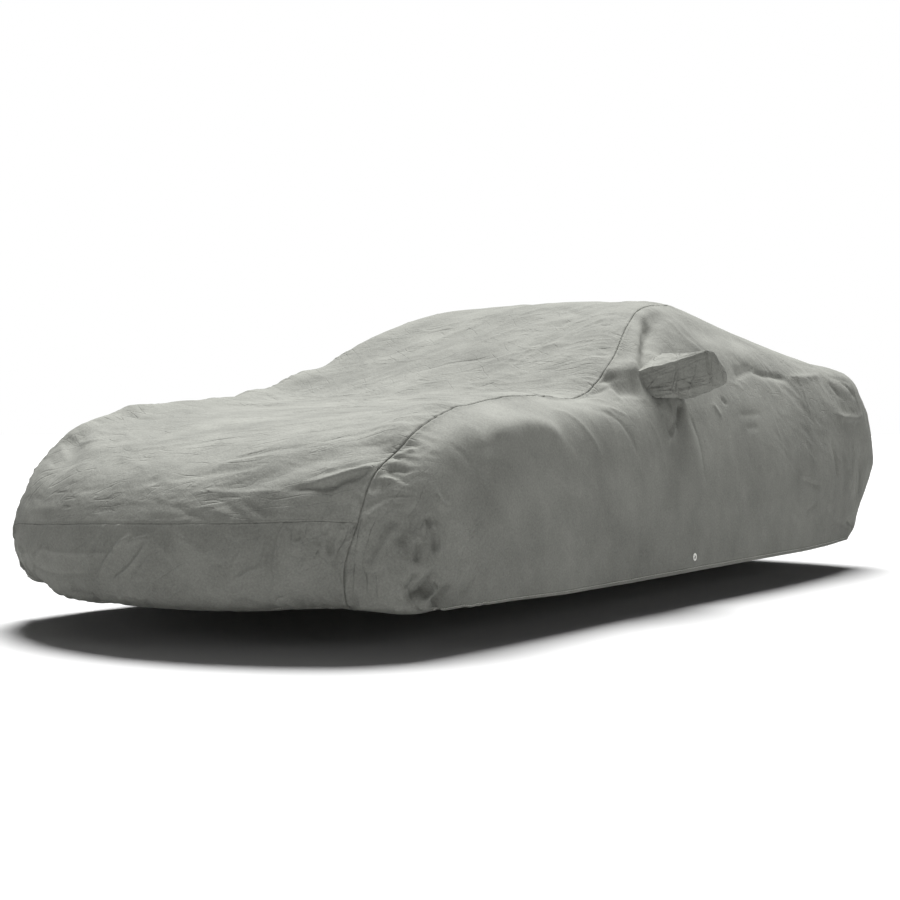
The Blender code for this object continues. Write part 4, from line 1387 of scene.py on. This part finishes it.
@dataclass
class Panel:
    """One sewn panel of the cover: a grid on the draped surface with relief along its edges.

    Rows follow stations. Columns lie at lengths across the cloth, so that the steps beside a
    seam or a hem are the same size all along it.
    """

    name: str
    nodes: tuple[str, ...]
    cloth: DrapedCloth
    finishes: Finishes
    v_range: tuple[float, float]
    u_stops: tuple[float, ...]
    step_mm: tuple[tuple[float, float], ...]
    column_steps_mm: tuple[float, ...]
    edges: dict[str, Edge]
    focus_v: tuple[float, ...] = ()
    side: int = 1
    eyelet_hole: bool = False
    pocket_hole: bool = False
    seam: SeamShape = field(default_factory=SeamShape)
    v: Array = field(init=False)
    u: Array = field(init=False)
    across: Array = field(init=False)
    points: Array = field(init=False)
    normal: Array = field(init=False)
    stops: list[int] = field(init=False)
    smooth: Array = field(init=False)
    piece: Any = field(init=False)

    def rows(self) -> Array:
        """Stations of the rows, with steps graded by step_mm and finer ones beside each focus.

        Even steps are those of a running count, which grows by one for each step's length.

        Returns:
            (n,) stations.
        """
        v = np.linspace(*self.v_range, 4001)
        along = np.interp(v, self.cloth.table_v, self.cloth.along)
        step = np.interp(v, *np.array(self.step_mm).T) * MM
        count = np.concatenate([[0], np.cumsum(np.diff(along) / (0.5 * (step[1:] + step[:-1])))])
        base = np.interp(np.linspace(0, count[-1], round(count[-1]) + 1), count, v)
        fine = []
        ends = (self.edges["v_start"], self.edges["v_end"], *[None] * len(self.focus_v))
        for focus, kind in zip((*self.v_range, *self.focus_v), ends):
            here = np.interp(focus, v, along)
            steps = self.seam.steps(kind)
            places = np.concatenate([here - steps, here + steps])
            places = places[(places >= along[0]) & (places <= along[-1])]
            fine.append(np.interp(places, along, v))
            base = base[np.abs(np.interp(base, v, along) - here) > steps[-1] + 2 * MM]
        return np.unique(np.round(np.concatenate([base, *fine]), 6))

    def columns(self) -> None:
        """Places of the columns, from the stops, with fixed steps beside the seams and hems."""
        lengths = [self.stop_length(stop) for stop in self.u_stops]
        final = len(lengths) - 2
        pieces, self.stops, total = [], [0], 0
        for k, (low, high) in enumerate(zip(lengths[:-1], lengths[1:])):
            first = self.seam.steps(self.edges["u_start"] if k == 0 else Edge.OPEN)
            last = self.seam.steps(self.edges["u_end"] if k == final else Edge.OPEN)
            span = float(np.median(high - low)) - first[-1] - last[-1]
            count = max(3, round(span / (self.column_steps_mm[k] * MM)) + 1)
            # Where the block is narrow, the fixed steps shrink with it.
            scale = np.clip((high - low) / (1.4 * (first[-1] + last[-1]) + 1e-9), 0, 1)
            ends = zip(low, high, scale)
            block = np.array([spaced(a, b, count, s * first, s * last) for a, b, s in ends])
            pieces.append(block if k == final else block[:, :-1])
            total += block.shape[1] - 1
            self.stops.append(total)
        self.across = np.concatenate(pieces, axis=1)
        self.u = self.cloth.place_at(self.v, self.side * self.across)

    def stop_length(self, stop: float) -> Array:
        """Lengths across to a stop: a place u up to 1, or past it a height over the hem in mm."""
        if stop <= 1:
            return self.cloth.length_at(self.v, stop) * self.side
        return self.cloth.length_at(self.v, self.side * 1.0) * self.side - stop * MM

    def edge_lift(self, grid: Array) -> Array:
        """The relief of the seams and hems round the panel, by distance along its grid.

        Args:
            grid: (n, m, 3) points of the smooth cloth.

        Returns:
            (n, m) lifts in metres.
        """
        from_start, from_left = path_lengths(grid), path_lengths(grid, 1)
        distance = {
            "v_start": from_start,
            "v_end": from_start[-1] - from_start,
            "u_start": from_left,
            "u_end": from_left[:, -1:] - from_left,
        }
        dip, rise, lift = np.zeros(self.u.shape), np.zeros(self.u.shape), np.zeros(self.u.shape)
        for name, kind in self.edges.items():
            if kind in (Edge.SEAM, Edge.FINE_SEAM):
                one_dip, one_rise = self.seam.seam(distance[name])
                share = self.seam.fine_share if kind is Edge.FINE_SEAM else 1.0
                rise = np.maximum(rise, share * one_rise)
                dip = np.minimum(dip, share * one_dip)
            elif kind is Edge.HEM:
                lift = np.where(np.abs(lift) > 0.5 * MM, lift, self.seam.hem(distance[name]))
        return dip + rise * (1 + dip / self.seam.dip) + lift

    def holes(self) -> Array:
        """Finds the cells that are cut out for the pocket and the eyelet.

        Returns:
            (n - 1, m - 1) truths.
        """
        gone = np.zeros((len(self.v) - 1, self.u.shape[1] - 1), bool)
        middle = 0.5 * (self.v[1:] + self.v[:-1])
        if self.pocket_hole:
            rows = (middle > POCKET_V[0]) & (middle < POCKET_V[1])
            gone[np.ix_(rows, range(self.stops[1], self.stops[2]))] = True
        if self.eyelet_hole:
            rows = (middle > EYELET_BLOCK_V[0]) & (middle < EYELET_BLOCK_V[1])
            gone[np.ix_(rows, range(self.stops[3], self.stops[4]))] = True
        return gone

    def turned_hem(self, layers: Array, at_end: bool) -> Array:
        """Adds a hem's turned part inside the last row or the first: a half round, then back.

        Args:
            layers: (n, m, 13) points, normals, UV and fine creases, side by side.
            at_end: whether the hem is at the last row.

        Returns:
            The layers with the turned part's rows added.
        """
        if not at_end:
            layers = layers[::-1]
        radius = self.seam.hem_fold
        count = len(self.seam.hem_mm) - 2
        points, normal = layers[..., :3], layers[..., 3:6]
        out = points[-1:] - points[-2:-1]
        out = out / np.linalg.norm(out, axis=-1, keepdims=True)
        angle = np.radians([60.0, 120.0])[:, None, None]
        turn = np.repeat(layers[-1:], 2, axis=0)
        turn[..., :3] += radius * (np.sin(angle) * out - (1 - np.cos(angle)) * normal[-1:])
        back = layers[-1 : -count - 1 : -1].copy()
        back[..., :3] -= 2 * radius * normal[-1 : -count - 1 : -1]
        width = MM * np.array([1.0, 2.0, *(3.0 + np.array(self.seam.hem_mm[:count]))])
        more = np.concatenate([turn, back])
        more[..., 6:8] = layers[-1:, :, 6:8]
        more[..., 6] += width[:, None]
        grown = np.concatenate([layers, more])
        return grown if at_end else grown[::-1]

    def build(self) -> Any:
        """Makes the panel's mesh: the raised grid, the turned hems, and the holes cut out.

        Returns:
            The piece.
        """
        self.v = self.rows()
        self.columns()
        self.smooth = self.cloth.smooth(self.v, self.u)
        self.points, self.normal = self.cloth.outer(self.v, self.u, self.edge_lift(self.smooth))
        uv = np.stack(self.cloth.lengths(self.v, self.u), axis=-1)
        fine = self.cloth.fine_creases(self.v, self.u)
        layers = np.concatenate([self.points, self.normal, uv, fine], axis=-1)
        gone = self.holes()
        if self.edges.get("u_end") is Edge.HEM:
            layers = np.swapaxes(self.turned_hem(np.swapaxes(layers, 0, 1), True), 0, 1)
        extra = layers.shape[1] - self.u.shape[1]
        gone = np.pad(gone, ((0, 0), (0, extra)))
        for name, at_end in (("v_start", False), ("v_end", True)):
            if self.edges.get(name) is Edge.HEM:
                before = len(layers)
                layers = self.turned_hem(layers, at_end)
                added = len(layers) - before
                gone = np.pad(gone, ((0, added) if at_end else (added, 0), (0, 0)))
        cells = grid_faces(*layers.shape[:2], flip=self.side < 0)[~gone]
        points, _, uv, fine = np.split(layers.reshape(-1, layers.shape[-1]), (3, 6, 8), axis=1)
        self.piece = add_mesh(self.name, points, (cells,), uv, self.finishes.cloth, fine)
        return self.piece

    def declare(self, with_pieces: tuple[Any, ...] = ()) -> None:
        """Rides the piece on the cover, replaces its CAD nodes and says how it was cut.

        Args:
            with_pieces: The separate pieces on this cloth. Not used.
        """
        across, along = self.cloth.lengths(self.v, self.u)
        width = float(np.abs(across[:, -1] - across[:, 0]).max())
        length = float(along[-1, 0] - along[0, 0])
        area = min(sheet_area(self.smooth), 0.999 * width * length)
        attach(self.piece, "root")
        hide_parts(*self.nodes)
        count = sum(len(face.vertices) - 2 for face in self.piece.data.polygons)
        LOG.info(
            "%s: %d triangles, cut %.2f x %.2f m, %.2f m2", self.name, count, width, length, area
        )

    def line(self, column: int) -> tuple[Array, Array]:
        """Points and normals down one column of the panel."""
        return self.points[:, column], self.normal[:, column]


VERTICES_A_STITCH = 16


@dataclass
class StitchRow:
    """A row of lock stitches: low lozenges of thread, each on the cloth along a path."""

    name: str
    lines: list[tuple[Array, Array]]
    thread: Any
    pitch: float = 7.0 * MM
    length: float = 4.8 * MM
    width: float = 1.1 * MM
    height: float = 0.4 * MM

    def one_line(self, points: Array, normal: Array) -> tuple[Array, Array]:
        """Vertices and faces of the stitches on one line.

        A stitch is four rings of four points, small at its ends and full between.

        Args:
            points: (n, 3) points of the line.
            normal: (n, 3) normals there.

        Returns:
            Vertices (k, 3) and faces (f, 4).
        """
        length = path_lengths(points)
        at = np.arange(0.5 * self.pitch, length[-1] - self.pitch, self.pitch)
        start, end = self.read(points, length, at), self.read(points, length, at + self.length)
        up = self.read(normal, length, at)
        aside = np.cross(up, end - start)
        aside /= np.linalg.norm(aside, axis=1, keepdims=True)
        share = np.array([0.0, 0.25, 0.75, 1.0])[:, None, None]
        swell = np.array([0.35, 1.0, 1.0, 0.35])[:, None, None]
        ring = np.array([(1, 0), (0, 1), (-1, 0), (0, -1)], float)
        body = start[:, None, None] + share * (end - start)[:, None, None]
        body = body + 0.5 * self.width * swell * ring[:, :1] * aside[:, None, None]
        body = body + self.height * (swell * ring[:, 1:] + 0.2) * up[:, None, None]
        caps = np.array([[3, 2, 1, 0], [12, 13, 14, 15]])
        one = np.concatenate([grid_faces(4, 4, closed=True).reshape(-1, 4), caps])
        faces = one + VERTICES_A_STITCH * np.arange(len(at))[:, None, None]
        return body.reshape(-1, 3), faces.reshape(-1, 4)

    def read(self, values: Array, length: Array, at: Array) -> Array:
        """(k, 3) values at the lengths `at`, from those at the lengths of a line's points."""
        return np.stack([np.interp(at, length, values[:, k]) for k in range(3)], axis=1)

    def build(self) -> Any:
        """Makes all the stitches one piece.

        Returns:
            The piece.
        """
        vertices, faces, start = [], [], 0
        for points, normal in self.lines:
            body, cells = self.one_line(points, normal)
            vertices.append(body)
            faces.append(cells + start)
            start += len(body)
        piece = add_mesh(self.name, np.concatenate(vertices), tuple(faces), None, self.thread)
        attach(piece, "root")
        LOG.info("%s: %d stitches", self.name, start // VERTICES_A_STITCH)
        return piece


@dataclass
class EyeletPatch:
    """The cloth between the side panel's cut-out and the eyelet's barrel."""

    side: int
    cloth: DrapedCloth
    finishes: Finishes
    hole_radius: float = 8.6 * MM
    rings: int = 10

    def build(self, panel: Panel) -> Any:
        """Makes the patch: rings that pass evenly from the cut-out's edge to the round hole.

        Args:
            panel: The side panel with the cut-out.

        Returns:
            The piece.
        """
        v, u = self.boundary(panel)
        middle = self.cloth.eyelet_middle(self.side)
        edge, _ = self.cloth.outer(v, u[:, None])
        spoke = edge[:, 0, 1:] - middle[1:]
        spoke /= np.linalg.norm(spoke, axis=1, keepdims=True)
        hole = np.column_stack([np.full(len(v), middle[0]), middle[1:] + self.hole_radius * spoke])
        share = np.linspace(0, 1, self.rings)[:, None]
        ring_v = (v * (1 - share) + EYELET_AT[0] * share).ravel()
        ring_u = (u * (1 - share) + self.side * EYELET_AT[1] * share).ravel()
        surface, _ = self.cloth.outer(ring_v, ring_u[:, None])
        surface = surface.reshape(self.rings, len(v), 3)
        flat = edge[:, 0] * (1 - share[..., None]) + hole * share[..., None]
        points = flat.copy()
        points[..., 0] = surface[..., 0]
        gap = np.linalg.norm(points[..., 1:] - middle[1:], axis=-1)
        points[..., 0] = np.where(gap < self.cloth.eyelet_flat, middle[0], points[..., 0])
        points[0] = edge[:, 0]
        cells = grid_faces(self.rings, len(v), closed=True, flip=self.side < 0).reshape(-1, 4)
        uv = np.column_stack(self.cloth.lengths(ring_v, ring_u[:, None]))
        fine = self.cloth.fine_creases(ring_v, ring_u[:, None])[:, 0]
        word = HALVES[self.side]
        name = "eyelet_patch_" + word
        piece = add_mesh(name, points.reshape(-1, 3), (cells,), uv, self.finishes.cloth, fine)
        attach(piece, "root")
        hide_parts("eyelet_strip_" + word)
        LOG.info("%s: %d faces", name, len(cells))
        return piece

    def boundary(self, panel: Panel) -> tuple[Array, Array]:
        """Finds the cut-out's edge on the side panel's own grid points.

        Args:
            panel: The side panel with the cut-out.

        Returns:
            Stations and places round the edge.
        """
        start, end = EYELET_BLOCK_V
        rows = np.flatnonzero((panel.v >= start - 1e-6) & (panel.v <= end + 1e-6))
        low, high = panel.stops[3], panel.stops[4]
        i0, i1 = rows[0], rows[-1]
        path = [(i, low) for i in range(i0, i1)] + [(i1, j) for j in range(low, high)]
        path += [(i, high) for i in range(i1, i0, -1)] + [(i0, j) for j in range(high, low, -1)]
        i, j = np.array(path).T
        return panel.v[i], panel.u[i, j]


@dataclass
class MirrorPocket:
    """The sock sewn into the side panel: rings from its root to a rounded, closed end."""

    side: int
    cloth: DrapedCloth
    finishes: Finishes
    tip_middle: tuple[float, float, float]
    half_length: float = 0.062
    half_height: float = 0.070
    lean: float = 0.42
    top_narrowing: float = 0.62
    slant: float = 0.10
    ease: float = 1.15
    squareness: float = 0.62
    sag: float = 0.030
    cap_scales: tuple[float, ...] = (1.0, 0.985, 0.95, 0.86, 0.72, 0.50, 0.25)
    cap_rise: tuple[float, ...] = (0.0, 0.007, 0.012, 0.018, 0.022, 0.026, 0.028)
    end_bulge: float = 0.5 * MM
    fine: tuple[float, ...] = (0.6, 0.5, 0.9, 0.9, 0.8)
    segments: int = 200
    rings: int = 56
    # The cloth a maker adds: slack round the pocket, a least length, and the closed end's area.
    slack_share: float = 1.15
    least_length: float = 0.24
    end_area: float = 0.012

    def root(self) -> tuple[Array, Array]:
        """Works out the pocket's root, corner by corner.

        Returns:
            Stations and places round it.
        """
        corner = np.arange(self.segments) * 4 / self.segments
        v = np.interp(corner, range(5), [POCKET_V[k] for k in (0, 1, 1, 0, 0)])
        u = np.interp(corner, range(5), [POCKET_U[k] for k in (0, 0, 1, 1, 0)])
        return v, self.side * u

    def tip(self) -> tuple[Array, Array, Array]:
        """Works out the end's edge, a superellipse that leans back and narrows to its top.

        Returns:
            (n, 3) points, and how far forward and up each is, from -1 to 1.
        """
        corner = np.arange(self.segments) * 4 / self.segments
        angle = math.radians(135) - math.radians(90) * corner
        reach = np.abs(np.cos(angle)) ** self.squareness * np.sign(np.cos(angle))
        rise = np.abs(np.sin(angle)) ** self.squareness * np.sign(np.sin(angle))
        narrow = self.top_narrowing * soft_step((rise + 0.2) / 1.2)
        out = self.side * self.slant * self.half_length * reach
        back = self.half_length * (reach - narrow * (1 + reach))
        back = back - self.lean * self.half_height * rise
        edge = np.stack([out, back, self.half_height * rise], axis=1)
        return np.array(self.tip_middle) - ORIGIN + edge, reach, rise

    def build(self) -> Any:
        """Makes the pocket with its slack, its crisp end and the creases that run along it.

        Rings pass from the root to the end's edge as a power of the ring's share, and the
        slack hangs as half a sine. The end is scaled copies of its edge, each further out.

        Returns:
            The piece.
        """
        v, u = self.root()
        root, _ = self.cloth.outer(v, u[:, None])
        root = root[:, 0]
        tip, reach, rise = self.tip()
        share = np.linspace(0, 1, self.rings)
        eased = (share**self.ease)[:, None, None]
        body = (1 - eased) * root + eased * tip
        slack = self.sag * np.sin(np.pi * share)[:, None] * np.clip(-rise, 0, 1) * (1 - reach**2)
        body[..., 2] -= slack
        middle = tip.mean(axis=0)
        rise_to = np.array(self.cap_rise)[:, None, None] * (self.side, 0, 0)
        caps = middle + np.array(self.cap_scales)[:, None, None] * (tip - middle) + rise_to
        points = np.concatenate([body, caps[1:]])
        points += self.relief(points)[..., None] * self.ring_normals(points)
        points[0] = root
        count = self.segments
        cells = grid_faces(len(points), count, closed=True, flip=self.side < 0).reshape(-1, 4)
        end = points[-1].mean(axis=0) + (self.side * self.end_bulge, 0, 0)
        vertices = np.concatenate([points.reshape(-1, 3), [end]])
        last = np.arange(count) + len(vertices) - 1 - count
        lid = np.stack([last, np.roll(last, -1), np.full(count, len(vertices) - 1)], axis=-1)
        faces = (cells, lid[:, ::-1] if self.side < 0 else lid)
        uv = self.lengths(points)
        return self.dress(vertices, faces, np.concatenate([uv, uv[-1:]]), body)

    def relief(self, points: Array) -> Array:
        """Creases along and round the pocket, and the dip of its seam.

        They are three crested noises on the rings and the places round, higher in a bell
        under the root, and a bell-shaped dip just off the root.

        Args:
            points: (ring, place round, 3) points of the pocket.

        Returns:
            Lifts in metres, one for each point.
        """
        ring = np.linspace(0, 1, len(points))[:, None]
        turn = np.linspace(0, 1, self.segments, endpoint=False)[None, :]
        x, y = np.cos(2 * np.pi * turn), np.sin(2 * np.pi * turn)
        along = gradient_noise(3.0 * x + 5 + 1.2 * ring, 3.0 * y + 7 - 0.8 * ring, 71)
        round_it = gradient_noise(1.6 * x + 2, 7 * ring + 1.4 * y, 72)
        fine = gradient_noise(6 * x + 3 * ring, 6 * y - 4 * ring, 73)
        lift = 3.2 * crested(along, 0.5, 1.6, 0.005)
        lift = lift + 2.6 * crested(round_it, 0.5, 1.6, 0.005)
        lift = lift + 0.9 * crested(fine, 0.5, 1.6, 0.01)
        gathered = 1.4 + 2.0 * bell((turn - 0.74) / 0.12) * bell((ring - 0.22) / 0.20)
        ends = soft_step(ring / 0.12) * (0.35 + 0.65 * soft_step((1 - ring) / 0.2))
        return MM * lift * gathered * ends - 4.5 * MM * bell((ring - 0.045) / 0.024)

    def ring_normals(self, rings: Array) -> Array:
        """Outward unit normals, from the steps to each point's neighbours.

        Args:
            rings: (ring, place round, 3) points.

        Returns:
            A normal for each point.
        """
        forward = np.gradient(rings, axis=0)
        around = np.roll(rings, -1, axis=1) - np.roll(rings, 1, axis=1)
        normal = self.side * np.cross(forward, around)
        return normal / (np.linalg.norm(normal, axis=2, keepdims=True) + 1e-9)

    def lengths(self, rings: Array) -> Array:
        """Lengths round and along the pocket, for its UV map.

        Args:
            rings: (ring, place round, 3) points.

        Returns:
            (n, 2) lengths in metres.
        """
        step = np.linalg.norm(np.diff(rings, axis=0), axis=2).mean(axis=1)
        along = np.concatenate([[0], np.cumsum(step)])
        turn = np.abs(np.linspace(-1, 1, self.segments, endpoint=False)) * 0.35
        grid = np.stack(np.broadcast_arrays(turn[None, :], along[:, None]), axis=-1)
        return grid.reshape(-1, 2)

    def dress(self, vertices: Array, faces: tuple[Array, ...], uv: Array, body: Array) -> Any:
        """Adds the mesh and rides it on the cover.

        Args:
            vertices: (n, 3) vertices.
            faces: Its quads and its triangles.
            uv: (n, 2) lengths for the UV map.
            body: (ring, place round, 3) points of its smooth body, which is measured.

        Returns:
            The piece.
        """
        word = HALVES[self.side]
        fine = np.broadcast_to(self.fine, (len(vertices), 5))
        name = "mirror_pocket_skin_" + word
        piece = add_mesh(name, vertices, faces, uv, self.finishes.cloth, fine)
        girth = float(path_lengths(body[self.rings // 2])[-1])
        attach(piece, "root")
        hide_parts("mirror_pocket_" + word)
        return piece


@dataclass
class Studio:
    """The plain pale studio: floor, soft lights, a white surround and the camera."""

    camera_place: tuple[float, float, float] = (3.896, -6.569, -0.516)
    # The turn in degrees, the lens for a picture 36 mm wide, and the upward shift of the picture.
    camera_turn: float = 34.57
    focal_mm: float = 66.97
    shift_y: float = -0.0372
    # Each light's watts on a square metre, its width in degrees, and its azimuth and height.
    key_strength: float = 9.8
    key_spread: float = 32.0
    key_from: tuple[float, float] = (115.0, 66.0)
    side_strength: float = 0.45
    side_spread: float = 24.0
    side_from: tuple[float, float] = (350.0, 16.0)
    front_strength: float = 0.34
    front_from: tuple[float, float] = (262.0, 16.0)
    # The white surround lights the cover this weakly, next to how bright it looks.
    fill: float = 0.08

    def build(self) -> None:
        """Makes the floor, the lights and the camera."""
        self.floor()
        self.lights()
        self.camera()

    def floor(self) -> None:
        """A wide disc at ground level."""
        angle = np.linspace(0, 2 * math.pi, 96, endpoint=False)
        radius = np.array([4.0, 12.0, 60.0])[:, None]
        height = np.full((len(radius), len(angle)), GROUND_Z)
        points = np.stack([radius * np.cos(angle), radius * np.sin(angle), height], axis=-1)
        cells = grid_faces(*height.shape, closed=True, flip=True).reshape(-1, 4)
        middle = np.arange(len(angle))[None]
        finish = StudioVinyl().build()
        floor = add_mesh("floor", points.reshape(-1, 3), (cells, middle), None, finish)

    def lights(self) -> None:
        """A broad overhead light, weak ones at the side and the front, and the white surround."""
        self.soft_light("overhead soft light", self.key_strength, self.key_spread, self.key_from)
        self.soft_light("side soft light", self.side_strength, self.side_spread, self.side_from)
        self.soft_light("front soft light", self.front_strength, self.side_spread, self.front_from)
        world = bpy.data.worlds.new("white surround")
        bpy.context.scene.world = world
        world.use_nodes = True
        tree = world.node_tree
        seen = add_node(tree, "LightPath", {}, "Is Camera Ray")
        strength = add_node(tree, "MapRange", {"Value": seen, "To Min": self.fill, "To Max": 1.0})
        look = {"Color": (1, 1, 1, 1), "Strength": strength}
        set_inputs(tree, tree.nodes["Background"], look)

    def soft_light(
        self, name: str, strength: float, spread: float, comes_from: tuple[float, float]
    ) -> None:
        """Adds a distant soft light.

        Args:
            name: Its name.
            strength: Its power on each square metre that faces it, in watts.
            spread: How wide it looks, in degrees.
            comes_from: The azimuth and height it comes from, in degrees.
        """
        light = bpy.data.lights.new(name, "SUN")
        light.energy = strength
        light.angle = math.radians(spread)
        lamp = bpy.data.objects.new(name, light)
        azimuth, height = comes_from
        lamp.rotation_euler = (math.radians(90 - height), 0, math.radians(azimuth + 90))
        bpy.context.scene.collection.objects.link(lamp)

    def camera(self) -> None:
        """The camera, level and a little below the shoulder of the cover."""
        data = bpy.data.cameras.new("camera")
        data.lens = self.focal_mm
        data.sensor_width = 36.0
        data.shift_y = self.shift_y
        data.clip_end = 200.0
        camera = bpy.data.objects.new("camera", data)
        camera.location = self.camera_place
        camera.rotation_euler = (math.radians(90), 0, math.radians(self.camera_turn))
        bpy.context.scene.collection.objects.link(camera)
        bpy.context.scene.camera = camera
        bpy.context.scene.view_settings.view_transform = "Standard"


@dataclass
class CarCover:
    """The whole cover: four panels, two mirror pockets, two eyelet patches and the stitching."""

    cloth: DrapedCloth
    finishes: Finishes

    def panels(self) -> dict[str, Panel]:
        """Sets out the sewn panels, from the large top to the two sides.

        Returns:
            The panels by name, not built yet.
        """
        common = {"cloth": self.cloth, "finishes": self.finishes}
        seamed = {"u_start": Edge.SEAM, "u_end": Edge.SEAM}
        hemmed = {"u_end": Edge.HEM, "v_start": Edge.HEM, "v_end": Edge.HEM}
        found = {
            "top": Panel(
                "top_cloth",
                ("top_panel",),
                v_range=(FRONT_SEAM_V, LAST_V),
                u_stops=(-SEAM_U, 0.0, SEAM_U),
                step_mm=((3, 7), (9, 7.5), (12.5, 9), (14, 17), (LAST_V, 18)),
                column_steps_mm=(13.0, 8.5),
                edges={"v_start": Edge.FINE_SEAM, **seamed, "v_end": Edge.HEM},
                **common,
            ),
            "front": Panel(
                "front_low_cloth",
                ("front_lower_panel",),
                v_range=(0, FRONT_SEAM_V),
                u_stops=(-SEAM_U, SEAM_U),
                step_mm=((0, 4), (3, 4)),
                column_steps_mm=(4.5,),
                edges={"v_end": Edge.FINE_SEAM, **seamed, "v_start": Edge.HEM},
                **common,
            ),
        }
        for side, word in HALVES.items():
            places = [side * k for k in (SEAM_U, *POCKET_U)]
            found[word] = Panel(
                "side_cloth_" + word,
                ("side_panel_" + word,),
                v_range=(0, LAST_V),
                u_stops=(*places, *EYELET_BLOCK_RISE_MM, side * 1.0),
                step_mm=((0, 5), (4, 6), (8, 9), (13, 9), (15, 11), (LAST_V, 12)),
                column_steps_mm=(8.0, 8.0, 7.5, 9.0, 9.0),
                edges={"u_start": Edge.SEAM, **hemmed},
                focus_v=(*POCKET_V, *EYELET_BLOCK_V),
                side=side,
                eyelet_hole=True,
                pocket_hole=True,
                **common,
            )
        return found

    def build(self) -> None:
        """Makes every piece of the cover."""
        panels = self.panels()
        for panel in panels.values():
            panel.build()
        seams, hems = self.stitching(panels)
        on_panel = {"top": (seams,), "front": (), "left": (hems,), "right": ()}
        for side, word in HALVES.items():
            patch = EyeletPatch(side, self.cloth, self.finishes).build(panels[word])
            on_panel[word] += (patch,)
            MirrorPocket(side, self.cloth, self.finishes, POCKET_TIPS[side]).build()
        for word, panel in panels.items():
            panel.declare(on_panel[word])

    def stitching(self, panels: dict[str, Panel]) -> tuple[Any, Any]:
        """Makes the stitch rows beside the long seams and along the hems.

        Args:
            panels: The built panels by name.

        Returns:
            The seams' piece and the hems' piece.
        """
        top, front = panels["top"], panels["front"]
        beside = SeamShape().near_mm.index(10.5)
        seam_lines = [top.line(beside), top.line(-1 - beside)]
        seams = StitchRow("seam_stitches", seam_lines, self.finishes.thread)
        hem = SeamShape().hem_mm.index(18)
        lines = [
            panels["left"].line(-1 - hem),
            panels["right"].line(-1 - hem),
            (front.points[hem], front.normal[hem]),
            (top.points[-1 - hem], top.normal[-1 - hem]),
        ]
        hems = StitchRow(
            "hem_stitches", lines, self.finishes.hem_thread, width=2.4 * MM, height=0.9 * MM
        )
        return seams.build(), hems.build()


def main() -> None:
    """Loads the frame, dresses the cover and sets the studio."""
    logging.basicConfig(level=logging.INFO, format="%(name)s: %(message)s")
    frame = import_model()
    finishes = Finishes()
    cover = CarCover(DrapedCloth(), finishes)
    cover.build()
    for word in HALVES.values():
        ring = frame["nodes"]["eyelet_ring_" + word]
        ring.data.materials.clear()
        ring.data.materials.append(finishes.eyelet)
        LOG.info("eyelet_ring_%s: %s", word, finishes.eyelet.name)
    Studio().build()
    bpy.context.view_layer.update()


if __name__ == "__main__":
    main()
